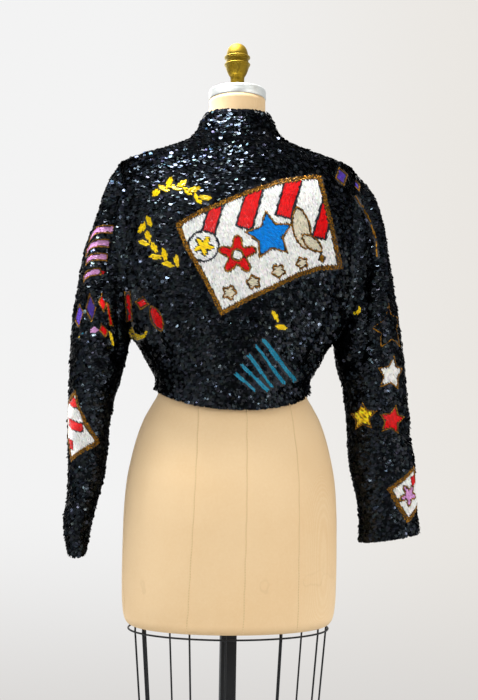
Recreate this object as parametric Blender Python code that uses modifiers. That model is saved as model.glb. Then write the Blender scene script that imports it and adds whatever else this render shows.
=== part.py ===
"""A cropped jacket of sequinned cloth, worn by a limbless linen dress form on a post.

Metres, +Z up. The wearer's back faces +Y and the wearer's left is +X. The origin is on
the floor, at the middle of the foot's underside.

The jacket's body is one surface: rings of a rounded oval, from the hem to the neck.
Back and fronts are parts of it, parted at the sides, the shoulders and the centre
front. Each sleeve is a tube that starts on the armhole's own edge and fans round the
underarm. All cloth is a wall, its inner face the outer one moved in by the wall's
thickness.
"""

import math

import bmesh
import bpy
import numpy as np

WALL = 0.0025  # the ground cloth with its sequins sewn flat
SEAM_GAP = 0.0003
FRONT_GAP = 0.0012  # between the two fronts, which meet edge to edge
SEAT_GAP = 0.0006  # between the cloth and the shoulders that carry it

# The shoulder line, seen from behind: distance from the middle, and height.
SHOULDER_COLUMNS = ("x", "z")
SHOULDER = (
    (0.1850, 1.4060),
    (0.1740, 1.4115),
    (0.1600, 1.4170),
    (0.1430, 1.4222),
    (0.1240, 1.4285),
    (0.1030, 1.4360),
    (0.0850, 1.4435),
    (0.0740, 1.4520),
    (0.0665, 1.4600),
)

# The jacket's body: height, half width, depth behind and in front, and the oval's power.
BODY_COLUMNS = ("z", "half_width", "back", "front", "power")
BODY = (
    (1.0460, 0.1240, 0.1035, 0.1040, 2.2),
    (1.0600, 0.1215, 0.1060, 0.1080, 2.2),
    (1.0780, 0.1300, 0.1120, 0.1140, 2.2),
    (1.0940, 0.1390, 0.1160, 0.1190, 2.2),
    (1.1100, 0.1480, 0.1190, 0.1230, 2.2),
    (1.1250, 0.1590, 0.1210, 0.1260, 2.3),
    (1.1600, 0.1780, 0.1240, 0.1330, 2.4),
    (1.2000, 0.1900, 0.1260, 0.1400, 2.4),
    (1.2500, 0.1990, 0.1270, 0.1420, 2.4),
    (1.3000, 0.2010, 0.1240, 0.1350, 2.4),
    (1.3500, 0.1990, 0.1160, 0.1190, 2.4),
    (1.3800, 0.1940, 0.1080, 0.1040, 2.4),
    (1.4060, 0.1850, 0.0990, 0.0900, 2.4),
)
# The rings over the shoulders take their width from the shoulder line. Each row here is
# one of them: its depth behind and in front, and the oval's power.
SHOULDER_DEPTHS = (
    (0.0955, 0.0850, 2.3),
    (0.0920, 0.0820, 2.3),
    (0.0885, 0.0790, 2.3),
    (0.0840, 0.0760, 2.2),
    (0.0780, 0.0728, 2.2),
    (0.0710, 0.0695, 2.1),
    (0.0660, 0.0668, 2.1),
    (0.0620, 0.0640, 2.0),
)

HEM_Z = 1.0460
HEM_DIP_BACK = 0.0260
HEM_DIP_FRONT = 0.0120
HEM_DIP_POWER = 1.5  # the dip follows this power of the sine round the body
HEM_DIP_ENDS_Z = 1.1250
NECK_Z = 1.4600
NECK_DROP = 0.0420  # how far the neckline falls from the back to the front
NECK_DROP_POWER = 2.2
NECK_DROP_STARTS_Z = 1.2800
NECK_EDGE_STEP = 0.0010  # below the neckline, to find the way the cloth runs there

# The armhole: a rounded oval seen from the side.
UNDERARM_Z = 1.1250
SHOULDER_TIP_Z = 1.4060
ARMHOLE_BACK = 0.0700
ARMHOLE_FRONT = 0.0620
ARMHOLE_POWER = 2.2
ARMHOLE_STEPS = 14  # points from the underarm up to the shoulder tip

# Rows of the body below the armhole, and columns across a back.
HEM_ROWS = (1.0460, 1.0530, 1.0620, 1.0730, 1.0860, 1.0990, 1.1120)
BACK_COLUMNS = 25  # an odd number
FRONT_COLUMNS = 13
EDGE_REACH = 0.8  # share of a half panel over which its columns make room for the armhole
RING_SAMPLES = 400  # points along half a ring when its length is measured

# Folds of the body. Each row: where the fold starts, as degrees round from the wearer's
# left side (90 is the centre back) and height, where it ends, likewise, its half width,
# and its depth, which is below nought for a trough.
FOLDS = (
    (47.0, 1.300, 40.0, 1.105, 0.011, -0.0050),
    (55.0, 1.215, 52.0, 1.095, 0.012, 0.0050),
    (69.0, 1.175, 67.0, 1.080, 0.010, -0.0035),
    (120.0, 1.200, 116.0, 1.095, 0.010, -0.0040),
    (131.0, 1.260, 127.0, 1.100, 0.012, 0.0050),
    (143.0, 1.310, 139.0, 1.105, 0.011, -0.0055),
    (96.0, 1.130, 93.0, 1.070, 0.010, -0.0025),
    (217.0, 1.290, 222.0, 1.105, 0.012, -0.0050),
    (230.0, 1.230, 235.0, 1.095, 0.013, 0.0045),
    (244.0, 1.190, 247.0, 1.085, 0.010, -0.0035),
    (294.0, 1.190, 292.0, 1.085, 0.010, -0.0035),
    (309.0, 1.240, 305.0, 1.095, 0.013, 0.0050),
    (323.0, 1.300, 318.0, 1.105, 0.012, -0.0050),
)
FOLD_SCALE = 0.145  # metres round the body for each radian
FOLD_START_SHARE = 0.4  # of its depth, where a fold starts

# Sleeves, from the armhole to the cuff. Each row is one section: the point nearest the
# body and the one farthest out, both seen from behind, the depth behind and in front, how
# far the section's middle lies behind the shoulder, and the oval's power.
SLEEVE_COLUMNS = ("in_x", "in_z", "out_x", "out_z", "back", "front", "middle_y", "power")
SLEEVE_LEFT = (
    (0.1590, 1.1250, 0.1850, 1.4035, 0.0700, 0.0620, 0.000, 2.2),
    (0.1608, 1.1257, 0.1970, 1.3850, 0.0640, 0.0575, 0.000, 2.2),
    (0.1625, 1.1255, 0.2085, 1.3580, 0.0615, 0.0555, 0.000, 2.2),
    (0.1642, 1.1240, 0.2220, 1.3120, 0.0640, 0.0590, -0.001, 2.2),
    (0.1660, 1.1200, 0.2385, 1.2620, 0.0690, 0.0640, -0.002, 2.1),
    (0.1680, 1.1130, 0.2480, 1.2050, 0.0715, 0.0675, -0.003, 2.1),
    (0.1700, 1.1000, 0.2555, 1.1500, 0.0710, 0.0680, -0.005, 2.1),
    (0.1740, 1.0780, 0.2585, 1.0900, 0.0690, 0.0660, -0.008, 2.1),
    (0.1810, 1.0480, 0.2585, 1.0500, 0.0665, 0.0640, -0.011, 2.1),
    (0.1880, 1.0200, 0.2600, 1.0150, 0.0645, 0.0620, -0.014, 2.1),
    (0.1960, 0.9850, 0.2605, 0.9800, 0.0625, 0.0605, -0.017, 2.1),
    (0.1975, 0.9450, 0.2590, 0.9400, 0.0610, 0.0595, -0.020, 2.1),
    (0.2020, 0.9050, 0.2580, 0.9000, 0.0590, 0.0580, -0.023, 2.1),
    (0.2105, 0.8700, 0.2600, 0.8650, 0.0570, 0.0565, -0.026, 2.1),
    (0.2200, 0.8350, 0.2640, 0.8320, 0.0555, 0.0550, -0.028, 2.1),
    (0.2250, 0.8050, 0.2610, 0.8030, 0.0545, 0.0540, -0.030, 2.1),
    (0.2290, 0.7840, 0.2560, 0.7800, 0.0540, 0.0535, -0.031, 2.1),
)
SLEEVE_RIGHT = (
    (0.1590, 1.1250, 0.1850, 1.4035, 0.0700, 0.0620, 0.000, 2.2),
    (0.1605, 1.1257, 0.2025, 1.3880, 0.0640, 0.0575, 0.000, 2.2),
    (0.1620, 1.1255, 0.2215, 1.3580, 0.0610, 0.0555, 0.000, 2.2),
    (0.1635, 1.1240, 0.2385, 1.3100, 0.0630, 0.0585, -0.001, 2.2),
    (0.1650, 1.1210, 0.2485, 1.2620, 0.0670, 0.0620, -0.002, 2.1),
    (0.1667, 1.1150, 0.2590, 1.2100, 0.0680, 0.0635, -0.003, 2.1),
    (0.1690, 1.1000, 0.2690, 1.1500, 0.0660, 0.0620, -0.005, 2.1),
    (0.1730, 1.0780, 0.2785, 1.0950, 0.0620, 0.0580, -0.008, 2.1),
    (0.1820, 1.0450, 0.2840, 1.0500, 0.0580, 0.0550, -0.011, 2.1),
    (0.1875, 1.0150, 0.2895, 1.0150, 0.0540, 0.0515, -0.013, 2.1),
    (0.1920, 0.9800, 0.2935, 0.9750, 0.0500, 0.0485, -0.015, 2.1),
    (0.1950, 0.9400, 0.3015, 0.9350, 0.0460, 0.0450, -0.017, 2.1),
    (0.2030, 0.9000, 0.3045, 0.9000, 0.0425, 0.0420, -0.019, 2.1),
    (0.2120, 0.8650, 0.3085, 0.8680, 0.0395, 0.0395, -0.021, 2.1),
    (0.2155, 0.8350, 0.3110, 0.8430, 0.0375, 0.0375, -0.023, 2.1),
    (0.2155, 0.8150, 0.3130, 0.8280, 0.0360, 0.0360, -0.024, 2.1),
    (0.2150, 0.8020, 0.3145, 0.8170, 0.0350, 0.0350, -0.025, 2.1),
)
SLEEVE_LEAVES_ARMHOLE = 5.0  # sections over which the armhole's own curve fades out
# Rings of a sleeve, counted in sections from the armhole.
SLEEVE_RINGS = (
    *(0.0, 0.7, 1.4, 2.2, 3.0, 3.8, 4.6, 5.4, 6.2, 7.0),
    *(7.8, 8.6, 9.5, 10.4, 11.4, 12.4, 13.5, 14.6, 15.4, 16.0),
)

# Creases of a sleeve. Each row: section, degrees round from the side next to the body
# (90 is behind, 180 outside), half span in degrees, sections that it climbs over one
# radian, half width in sections, and depth, below nought for a trough.
CREASES_LEFT = (
    (6.3, 60.0, 55.0, -0.8, 0.50, -0.0050),
    (7.6, 75.0, 60.0, -0.5, 0.45, -0.0045),
    (8.9, 40.0, 50.0, 0.4, 0.42, -0.0040),
    (10.3, 95.0, 50.0, 0.5, 0.50, -0.0035),
    (12.2, 70.0, 55.0, -0.3, 0.50, -0.0035),
    (13.8, 110.0, 50.0, 0.3, 0.45, -0.0030),
    (7.1, 285.0, 60.0, 0.6, 0.48, -0.0050),
    (8.6, 300.0, 55.0, 0.4, 0.45, -0.0045),
    (10.8, 270.0, 55.0, -0.4, 0.50, -0.0035),
    (13.1, 290.0, 50.0, 0.3, 0.48, -0.0035),
)
CREASES_RIGHT = (
    (6.4, 55.0, 50.0, -0.8, 0.50, -0.0050),
    (7.7, 65.0, 55.0, -0.6, 0.45, -0.0045),
    (9.4, 100.0, 55.0, 0.5, 0.48, -0.0040),
    (11.3, 60.0, 50.0, -0.4, 0.50, -0.0035),
    (13.3, 120.0, 50.0, 0.4, 0.48, -0.0035),
    (7.2, 300.0, 60.0, 0.7, 0.48, -0.0050),
    (8.8, 285.0, 55.0, 0.4, 0.45, -0.0045),
    (11.0, 265.0, 50.0, -0.5, 0.50, -0.0035),
    (13.6, 290.0, 50.0, 0.3, 0.45, -0.0030),
)

# The stand collar. Each row: height above the neckline, half width, and depth behind and
# in front.
COLLAR = (
    (0.0050, 0.0642, 0.0597, 0.0620),
    (0.0120, 0.0610, 0.0572, 0.0597),
    (0.0195, 0.0572, 0.0552, 0.0577),
    (0.0262, 0.0548, 0.0542, 0.0562),
)
COLLAR_COLUMNS = 34

# The dress form below the shoulders, and its neck. Each row: height, half width, depth
# behind and in front, and the oval's power.
FORM_LOWER = (
    (0.6735, 0.1580, 0.1120, 0.1060, 2.1),
    (0.6760, 0.1620, 0.1160, 0.1100, 2.1),
    (0.6820, 0.1660, 0.1195, 0.1135, 2.1),
    (0.6940, 0.1690, 0.1220, 0.1160, 2.1),
    (0.7200, 0.1710, 0.1235, 0.1175, 2.1),
    (0.7600, 0.1715, 0.1245, 0.1185, 2.1),
    (0.8000, 0.1712, 0.1250, 0.1180, 2.1),
    (0.8400, 0.1705, 0.1250, 0.1160, 2.1),
    (0.8700, 0.1690, 0.1240, 0.1130, 2.1),
    (0.9020, 0.1660, 0.1215, 0.1100, 2.1),
    (0.9340, 0.1600, 0.1165, 0.1060, 2.1),
    (0.9660, 0.1520, 0.1095, 0.1020, 2.1),
    (0.9980, 0.1405, 0.1015, 0.0975, 2.1),
    (1.0200, 0.1285, 0.0950, 0.0940, 2.1),
    (1.0400, 0.1180, 0.0895, 0.0910, 2.1),
    (1.0550, 0.1160, 0.0870, 0.0900, 2.1),
    (1.0750, 0.1170, 0.0870, 0.0910, 2.1),
    (1.1100, 0.1210, 0.0900, 0.0960, 2.1),
    (1.1600, 0.1290, 0.0970, 0.1060, 2.2),
    (1.2100, 0.1360, 0.1020, 0.1180, 2.2),
    (1.2500, 0.1420, 0.1040, 0.1250, 2.2),
    (1.3000, 0.1480, 0.1030, 0.1160, 2.3),
    (1.3400, 0.1540, 0.0980, 0.0980, 2.3),
    (1.3700, 0.1600, 0.0900, 0.0820, 2.3),
    (1.3900, 0.1620, 0.0830, 0.0740, 2.3),
    (1.4020, 0.1600, 0.0790, 0.0700, 2.3),
)
FORM_SHOULDER_REACH = (0.0700, 0.1500)  # where the form follows the jacket's shoulder line
NECK_LEVEL_Z = 1.5000  # from here up the neck's rings no longer fall in front
FORM_DEPTH_INSIDE = 0.0120  # how much shallower they are
FORM_NECK = (
    (1.4600, 0.0560, 0.0520, 0.0550, 2.0),
    (1.4700, 0.0490, 0.0480, 0.0500, 2.0),
    (1.4800, 0.0456, 0.0460, 0.0470, 2.0),
    (1.4940, 0.0448, 0.0450, 0.0455, 2.0),
    (1.5080, 0.0446, 0.0446, 0.0446, 2.0),
)
FORM_SIDES = 28

# The neck is cut on a slope, and the cap and the finial stand square to the cut.
NECK_TILT = math.radians(9.0)
NECK_TILT_STARTS_Z = 1.4700
CAP_Z = 1.5083
# Turned pieces: radius and height, down the outer side from the top.
CAP_PROFILE = (
    (0.0000, 0.0165),
    (0.0425, 0.0165),
    (0.0446, 0.0158),
    (0.0455, 0.0140),
    (0.0456, 0.0012),
    (0.0446, 0.0000),
    (0.0000, 0.0000),
)
FINIAL_PROFILE = (
    (0.0000, 0.0780),
    (0.0060, 0.0771),
    (0.0110, 0.0742),
    (0.0148, 0.0692),
    (0.0168, 0.0632),
    (0.0173, 0.0588),
    (0.0166, 0.0574),
    (0.0204, 0.0560),
    (0.0208, 0.0546),
    (0.0200, 0.0532),
    (0.0179, 0.0515),
    (0.0176, 0.0490),
    (0.0181, 0.0466),
    (0.0167, 0.0453),
    (0.0204, 0.0440),
    (0.0208, 0.0426),
    (0.0196, 0.0408),
    (0.0181, 0.0370),
    (0.0161, 0.0310),
    (0.0138, 0.0260),
    (0.0115, 0.0228),
    (0.0108, 0.0120),
    (0.0102, 0.0062),
    (0.0140, 0.0046),
    (0.0150, 0.0022),
    (0.0145, 0.0000),
    (0.0000, 0.0000),
)
FOOT_PROFILE = (
    (0.0000, 0.0420),
    (0.0270, 0.0420),
    (0.0300, 0.0390),
    (0.0320, 0.0270),
    (0.0500, 0.0205),
    (0.1650, 0.0140),
    (0.1910, 0.0095),
    (0.1950, 0.0050),
    (0.1930, 0.0000),
    (0.0000, 0.0000),
)
CAP_SIDES = 28
FINIAL_SIDES = 16
FOOT_SIDES = 36

# The wire skirt cage and the square post.
CAGE_HALF_WIDTH = 0.1600
CAGE_HALF_DEPTH = 0.1110
CAGE_TOP_Z = 0.6660
CAGE_RING_Z = (0.6660, 0.4300)
CAGE_NARROWS = 0.50  # share of the width lost for each metre down
WIRE_RADIUS = 0.0015
THICK_WIRE_RADIUS = 0.0025
RING_POINTS = 40
# Upright wires. Each row: degrees round from the wearer's left, where 90 is behind, and
# whether the wire is a thick one.
CAGE_WIRES = (
    (16.0, False),
    (27.0, True),
    (63.0, False),
    (84.0, False),
    (117.0, True),
    (150.0, False),
    (172.0, False),
    (214.0, False),
    (270.0, False),
    (304.0, False),
    (326.0, False),
)
POST_SIDE = 0.0250
POST_ROUND = 0.0020

# Finishes. Each row: colour, roughness, and how metallic it is.
LOOKS = {
    "black_sequins": ((0.012, 0.013, 0.018, 1), 0.28, 0.3),
    "linen": ((0.80, 0.60, 0.36, 1), 0.85, 0.0),
    "silver_cap": ((0.70, 0.70, 0.68, 1), 0.30, 1.0),
    "old_brass": ((0.36, 0.25, 0.07, 1), 0.35, 1.0),
    "black_steel": ((0.015, 0.015, 0.017, 1), 0.45, 0.6),
}


def start_empty():
    for thing in list(bpy.data.objects):
        bpy.data.objects.remove(thing)
    parts = bpy.data.collections.new("sequin_jacket_on_form")
    bpy.context.scene.collection.children.link(parts)
    return parts


PARTS = start_empty()


def look_of(name, node):
    """A material of this node's own, with the named finish."""
    colour, roughness, metallic = LOOKS[name]
    made = bpy.data.materials.new(f"{name}_{node}")
    made.use_nodes = True
    shader = made.node_tree.nodes["Principled BSDF"]
    shader.inputs["Base Color"].default_value = colour
    shader.inputs["Roughness"].default_value = roughness
    shader.inputs["Metallic"].default_value = metallic
    return made


def add_part(name, data, look):
    data.materials.append(look_of(look, name))
    part = bpy.data.objects.new(name, data)
    PARTS.objects.link(part)
    return part


def mesh_part(name, points, faces, look):
    """A closed mesh object with its faces turned outwards."""
    mesh = bpy.data.meshes.new(name)
    mesh.from_pydata([tuple(p) for p in points], [], faces)
    work = bmesh.new()
    work.from_mesh(mesh)
    bmesh.ops.recalc_face_normals(work, faces=work.faces[:])
    work.to_mesh(mesh)
    work.free()
    mesh.shade_smooth()
    return add_part(name, mesh, look)


def column(table, columns, name):
    return np.array([row[columns.index(name)] for row in table])


def through(knots, values, at):
    """A smooth curve through the knots that never swings past them.

    Cubic pieces, whose slope at a knot is the harmonic mean of the two chords there.
    """
    at = np.asarray(at, float)
    step = np.diff(knots)
    chord = np.diff(values) / step
    slope = np.empty(len(knots))
    slope[0], slope[-1] = chord[0], chord[-1]
    product = chord[1:] * chord[:-1]
    total = chord[1:] + chord[:-1]
    slope[1:-1] = np.where(product > 0, 2 * product / np.where(product > 0, total, 1), 0)
    i = np.clip(np.searchsorted(knots, at, side="right") - 1, 0, len(step) - 1)
    u = (at - knots[i]) / step[i]
    rise = (1 + 2 * u) * (1 - u) ** 2 * values[i] + u * u * (3 - 2 * u) * values[i + 1]
    lean = u * (1 - u) ** 2 * slope[i] + u * u * (u - 1) * slope[i + 1]
    return rise + lean * step[i]


def ease(low, high, at):
    """Nought below low, one above high, with a soft start and end."""
    u = np.clip((at - low) / (high - low), 0, 1)
    return u * u * (3 - 2 * u)


def powered(value, power):
    """The sine or cosine of an oval of this power."""
    return np.sign(value) * np.abs(value) ** (2 / power)


def unit(vectors):
    return vectors / np.linalg.norm(vectors, axis=-1, keepdims=True)


def body_table():
    """The body's rings with those over the shoulders added."""
    rows = list(BODY)
    for (x, z), depths in zip(SHOULDER[1:], SHOULDER_DEPTHS):
        rows.append((z, x, *depths))
    return tuple(rows)


BODY_RINGS = body_table()


def ring_at(z, name, table=BODY_RINGS):
    return through(column(table, BODY_COLUMNS, "z"), column(table, BODY_COLUMNS, name), z)


def plain_body(z, turn):
    """The body's surface without folds. turn is 0 at the wearer's left, a right angle behind."""
    cosine, sine = np.cos(turn), np.sin(turn)
    power = ring_at(z, "power")
    depth = np.where(sine > 0, ring_at(z, "back"), ring_at(z, "front"))
    x = ring_at(z, "half_width") * powered(cosine, power)
    y = depth * powered(sine, power)
    dip = np.where(sine > 0, HEM_DIP_BACK, HEM_DIP_FRONT) * np.abs(sine) ** HEM_DIP_POWER
    low = 1 - ease(HEM_Z, HEM_DIP_ENDS_Z, z)
    fall = NECK_DROP * ((1 - sine) / 2) ** NECK_DROP_POWER
    high = ease(NECK_DROP_STARTS_Z, NECK_Z, z)
    return np.stack([x, y, z - dip * low - fall * high], axis=-1)


def body_normal(z, turn):
    """The body's outward normal, from the surface a little to each side."""
    step_turn, step_z = 0.004, 0.0006
    round_it = plain_body(z, turn + step_turn) - plain_body(z, turn - step_turn)
    high = np.minimum(z + step_z, NECK_Z)
    low = np.maximum(z - step_z, HEM_Z)
    up = plain_body(high, turn) - plain_body(low, turn)
    return unit(np.cross(round_it, up))


def fold_height(z, turn):
    """How far folds stand out: each is a soft bank or ditch round a straight line."""
    x = np.mod(turn, 2 * math.pi) * FOLD_SCALE
    total = np.zeros(np.broadcast(x, z).shape)
    for from_turn, from_z, to_turn, to_z, half_width, depth in FOLDS:
        start = np.array([math.radians(from_turn) * FOLD_SCALE, from_z])
        run = np.array([math.radians(to_turn) * FOLD_SCALE, to_z]) - start
        along = ((x - start[0]) * run[0] + (z - start[1]) * run[1]) / (run @ run)
        at = np.clip(along, 0, 1)
        away = np.hypot(x - start[0] - at * run[0], z - start[1] - at * run[1])
        share = FOLD_START_SHARE + (1 - FOLD_START_SHARE) * at
        total = total + depth * np.exp(-((away / half_width) ** 2)) * share
    return total


def body_points(z, turn):
    """Points of the body's outer face and the normals there."""
    normal = body_normal(z, turn)
    return plain_body(z, turn) + normal * fold_height(z, turn)[..., None], normal


def armhole_rows():
    """The armhole's points, from the underarm up.

    For each its height, and how far it is from the side as a share of the armhole's depth.
    """
    turn = np.linspace(0, math.pi, ARMHOLE_STEPS + 1)
    middle = (UNDERARM_Z + SHOULDER_TIP_Z) / 2
    half = (SHOULDER_TIP_Z - UNDERARM_Z) / 2
    out = np.abs(powered(np.sin(turn), ARMHOLE_POWER))
    out[[0, -1]] = 0
    return middle - half * powered(np.cos(turn), ARMHOLE_POWER), out


def edge_turn(z, depth_at_edge, side):
    """The turn at which a ring is this deep; side names the depth that it is a share of."""
    share = np.maximum(depth_at_edge, SEAM_GAP / 2) / ring_at(z, side)
    return np.arcsin(share ** (ring_at(z, "power") / 2))


def even_turns(z, last, count):
    """For each row, turns from the side to last that are even steps along the ring."""
    fine = np.linspace(0, 1, RING_SAMPLES)
    turns = last[:, None] * fine
    points = plain_body(np.repeat(z[:, None], len(fine), axis=1), turns)
    run = np.cumsum(np.linalg.norm(np.diff(points, axis=1), axis=-1), axis=1)
    run = np.concatenate([np.zeros((len(z), 1)), run], axis=1)
    wanted = np.linspace(0, 1, count)
    return np.stack(
        [np.interp(wanted * run[k, -1], run[k], turns[k]) for k in range(len(z))]
    )


def panel_turns(z, edge, last, count):
    """Even turns, of which those nearest the side make room for the panel's edge.

    The edge's own turn fades out towards the middle with the square of the distance.
    """
    room = np.clip(1 - np.linspace(0, 1, count) / EDGE_REACH, 0, 1) ** 2
    return even_turns(z, last, count) + edge[:, None] * room


def panel_rows():
    """Each row's height, and how deep the panel's edge lies there, behind and in front."""
    arm_z, out = armhole_rows()
    shoulder_z = column(SHOULDER, SHOULDER_COLUMNS, "z")[1:]
    z = np.concatenate([HEM_ROWS, arm_z, shoulder_z])
    share = np.zeros(len(z))
    share[len(HEM_ROWS) : len(HEM_ROWS) + len(arm_z)] = out
    return z, share * ARMHOLE_BACK, share * ARMHOLE_FRONT


def wall_part(name, outer, inner, look, closed=False):
    """A closed wall between two grids of points with the same rows and columns.

    closed joins the last column to the first, as on a tube.
    """
    rows, columns = outer.shape[:2]
    number = np.arange(rows * columns).reshape(rows, columns)
    if closed:
        number = np.concatenate([number, number[:, :1]], axis=1)
    back = number + rows * columns

    def strip(a, b):
        return np.stack([a[:-1], a[1:], b[1:], b[:-1]], axis=-1).reshape(-1, 4)

    faces = [strip(number[k], number[k + 1]) for k in range(rows - 1)]
    faces += [strip(back[k + 1], back[k]) for k in range(rows - 1)]
    faces += [strip(back[0], number[0]), strip(number[-1], back[-1])]
    if not closed:
        faces += [strip(number[:, 0], back[:, 0]), strip(back[:, -1], number[:, -1])]
    points = np.concatenate([outer.reshape(-1, 3), inner.reshape(-1, 3)])
    return mesh_part(name, points, np.concatenate(faces).tolist(), look)


def flattened(normal, axis):
    """The normals with nothing along one axis, so that two edges stay parallel at a seam."""
    flat = normal.copy()
    flat[..., axis] = 0
    return unit(flat)


def build_back():
    z, back_edge, _ = panel_rows()
    edge = edge_turn(z, back_edge, "back")
    half = panel_turns(z, edge, np.full(len(z), math.pi / 2), BACK_COLUMNS // 2 + 1)
    turns = np.concatenate([half, math.pi - half[:, -2::-1]], axis=1)
    outer, normal = body_points(np.repeat(z[:, None], BACK_COLUMNS, axis=1), turns)
    seam = back_edge == 0
    for edge in (0, -1):
        normal[seam, edge] = flattened(normal[seam, edge], 1)
    wall_part("back", outer, outer - normal * WALL, "black_sequins")


def build_fronts():
    z, _, front_edge = panel_rows()
    edge = edge_turn(z, front_edge, "front")
    middle = np.arccos((FRONT_GAP / 2 / ring_at(z, "half_width")) ** (ring_at(z, "power") / 2))
    turns = panel_turns(z, -edge, -middle, FRONT_COLUMNS)
    rows = np.repeat(z[:, None], FRONT_COLUMNS, axis=1)
    seam = front_edge == 0
    for name, own_turns in (("front_left", turns), ("front_right", -math.pi - turns)):
        outer, normal = body_points(rows, own_turns)
        normal[seam, 0] = flattened(normal[seam, 0], 1)
        normal[:, -1] = flattened(normal[:, -1], 0)
        wall_part(name, outer, outer - normal * WALL, "black_sequins")


def armhole_edge(side):
    """The armhole's closed edge as rings of points, outer and inner, and the turn of each.

    It runs up behind from the underarm and down in front. side is 1 on the wearer's
    left and -1 on the right.
    """
    z, out = armhole_rows()
    behind = edge_turn(z, out * ARMHOLE_BACK, "back")
    before = -edge_turn(z, out * ARMHOLE_FRONT, "front")[-2:0:-1]
    behind[[0, -1]] = 0
    height = np.concatenate([z, z[-2:0:-1]])
    turn = np.concatenate([behind, before])
    if side < 0:
        turn = math.pi - turn
    outer, normal = body_points(height, turn)
    ends = [0, len(z) - 1]
    normal[ends] = flattened(normal[ends], 1)
    shift = np.array([side * SEAM_GAP, 0, 0])
    return outer + shift, outer + shift - normal * WALL


def sleeve_section(table, at, turn):
    """Points of the plain sections at places counted in sections, round each."""
    places = np.arange(len(table), dtype=float)
    row = {
        name: through(places, column(table, SLEEVE_COLUMNS, name), at)[:, None]
        for name in SLEEVE_COLUMNS
    }
    cosine = powered(np.cos(turn), row["power"])
    sine = powered(np.sin(turn), row["power"])
    depth = np.where(sine > 0, row["back"], row["front"])
    x = (row["in_x"] + row["out_x"]) / 2 - (row["out_x"] - row["in_x"]) / 2 * cosine
    z = (row["in_z"] + row["out_z"]) / 2 - (row["out_z"] - row["in_z"]) / 2 * cosine
    return np.stack([x, row["middle_y"] + depth * sine, z], axis=-1)


def crease_height(creases, at, turn):
    """How far creases stand out at a place down the sleeve and a turn round it."""
    total = np.zeros(np.broadcast(at, turn).shape)
    for section, middle, half_span, climb, half_width, depth in creases:
        round_it = np.mod(turn - math.radians(middle) + math.pi, 2 * math.pi) - math.pi
        away = (at - section - climb * round_it) / half_width
        total = total + depth * np.exp(-away * away - (round_it / math.radians(half_span)) ** 2)
    return total


def grid_normals(points, side):
    """Normals of a tube's grid of points, from its neighbours along and round."""
    along = np.gradient(points, axis=0)
    round_it = np.roll(points, -1, axis=1) - np.roll(points, 1, axis=1)
    return -side * unit(np.cross(along, round_it))


def build_sleeve(name, side, table, creases):
    """A tube from the armhole's edge to the cuff, its first sections bent to that edge."""
    edge, inner_edge = armhole_edge(side)
    at = np.array(SLEEVE_RINGS, float)
    turn = np.linspace(0, 2 * math.pi, 2 * ARMHOLE_STEPS, endpoint=False)
    outer = sleeve_section(table, at, turn)
    outer[..., 0] *= side
    bend = (1 - ease(0, SLEEVE_LEAVES_ARMHOLE, at))[:, None, None]
    outer = outer + (edge - outer[0]) * bend
    normal = grid_normals(outer, side)
    outer = outer + normal * crease_height(creases, at[:, None], turn)[..., None] * (1 - bend)
    outer[0] = edge
    inner = outer - normal * WALL
    inner[0] = inner_edge
    wall_part(name, outer, inner, "black_sequins", closed=True)


def build_collar():
    """The stand collar: it starts on the neckline's edge and turns up round the neck."""
    middle = math.acos(FRONT_GAP / 2 / COLLAR[0][1])
    turn = np.linspace(-middle, math.pi + middle, COLLAR_COLUMNS)
    neck = np.full(len(turn), NECK_Z)
    edge, normal = body_points(neck, turn)
    up = unit(edge - plain_body(neck - NECK_EDGE_STEP, turn))
    rows = [edge + up * SEAM_GAP]
    fall = NECK_DROP * ((1 - np.sin(turn)) / 2) ** NECK_DROP_POWER
    for rise, half_width, back, front in COLLAR:
        depth = np.where(np.sin(turn) > 0, back, front)
        x, y = half_width * np.cos(turn), depth * np.sin(turn)
        rows.append(np.stack([x, y, NECK_Z + rise - fall], axis=-1))
    outer = np.stack(rows)
    outer[:, [0, -1], 0] = np.array([1, -1]) * FRONT_GAP / 2
    facing = unit(np.cross(np.gradient(outer, axis=1), np.gradient(outer, axis=0)))
    facing[0] = normal
    for edge_column in (0, -1):
        facing[:, edge_column] = flattened(facing[:, edge_column], 0)
    wall_part("collar", outer, outer - facing * WALL, "black_sequins")


def form_table():
    """The form's rings and how far each is let down under the cloth.

    First its lower body, then its shoulders, which follow the jacket's own shoulder line,
    then its neck.
    """
    across, heights = np.array(SHOULDER).T
    lengthened = np.hypot(1, np.gradient(heights, across))[1:]
    rows = [(*row, 0.0) for row in FORM_LOWER]
    for (x, z), (back, front, power), longer in zip(SHOULDER[1:], SHOULDER_DEPTHS, lengthened):
        if FORM_SHOULDER_REACH[0] < x < FORM_SHOULDER_REACH[1]:
            below = (WALL + SEAT_GAP) * longer
            rows.append((z, x, back - FORM_DEPTH_INSIDE, front - FORM_DEPTH_INSIDE, power, below))
    return rows + [(*row, 0.0) for row in FORM_NECK]


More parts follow.
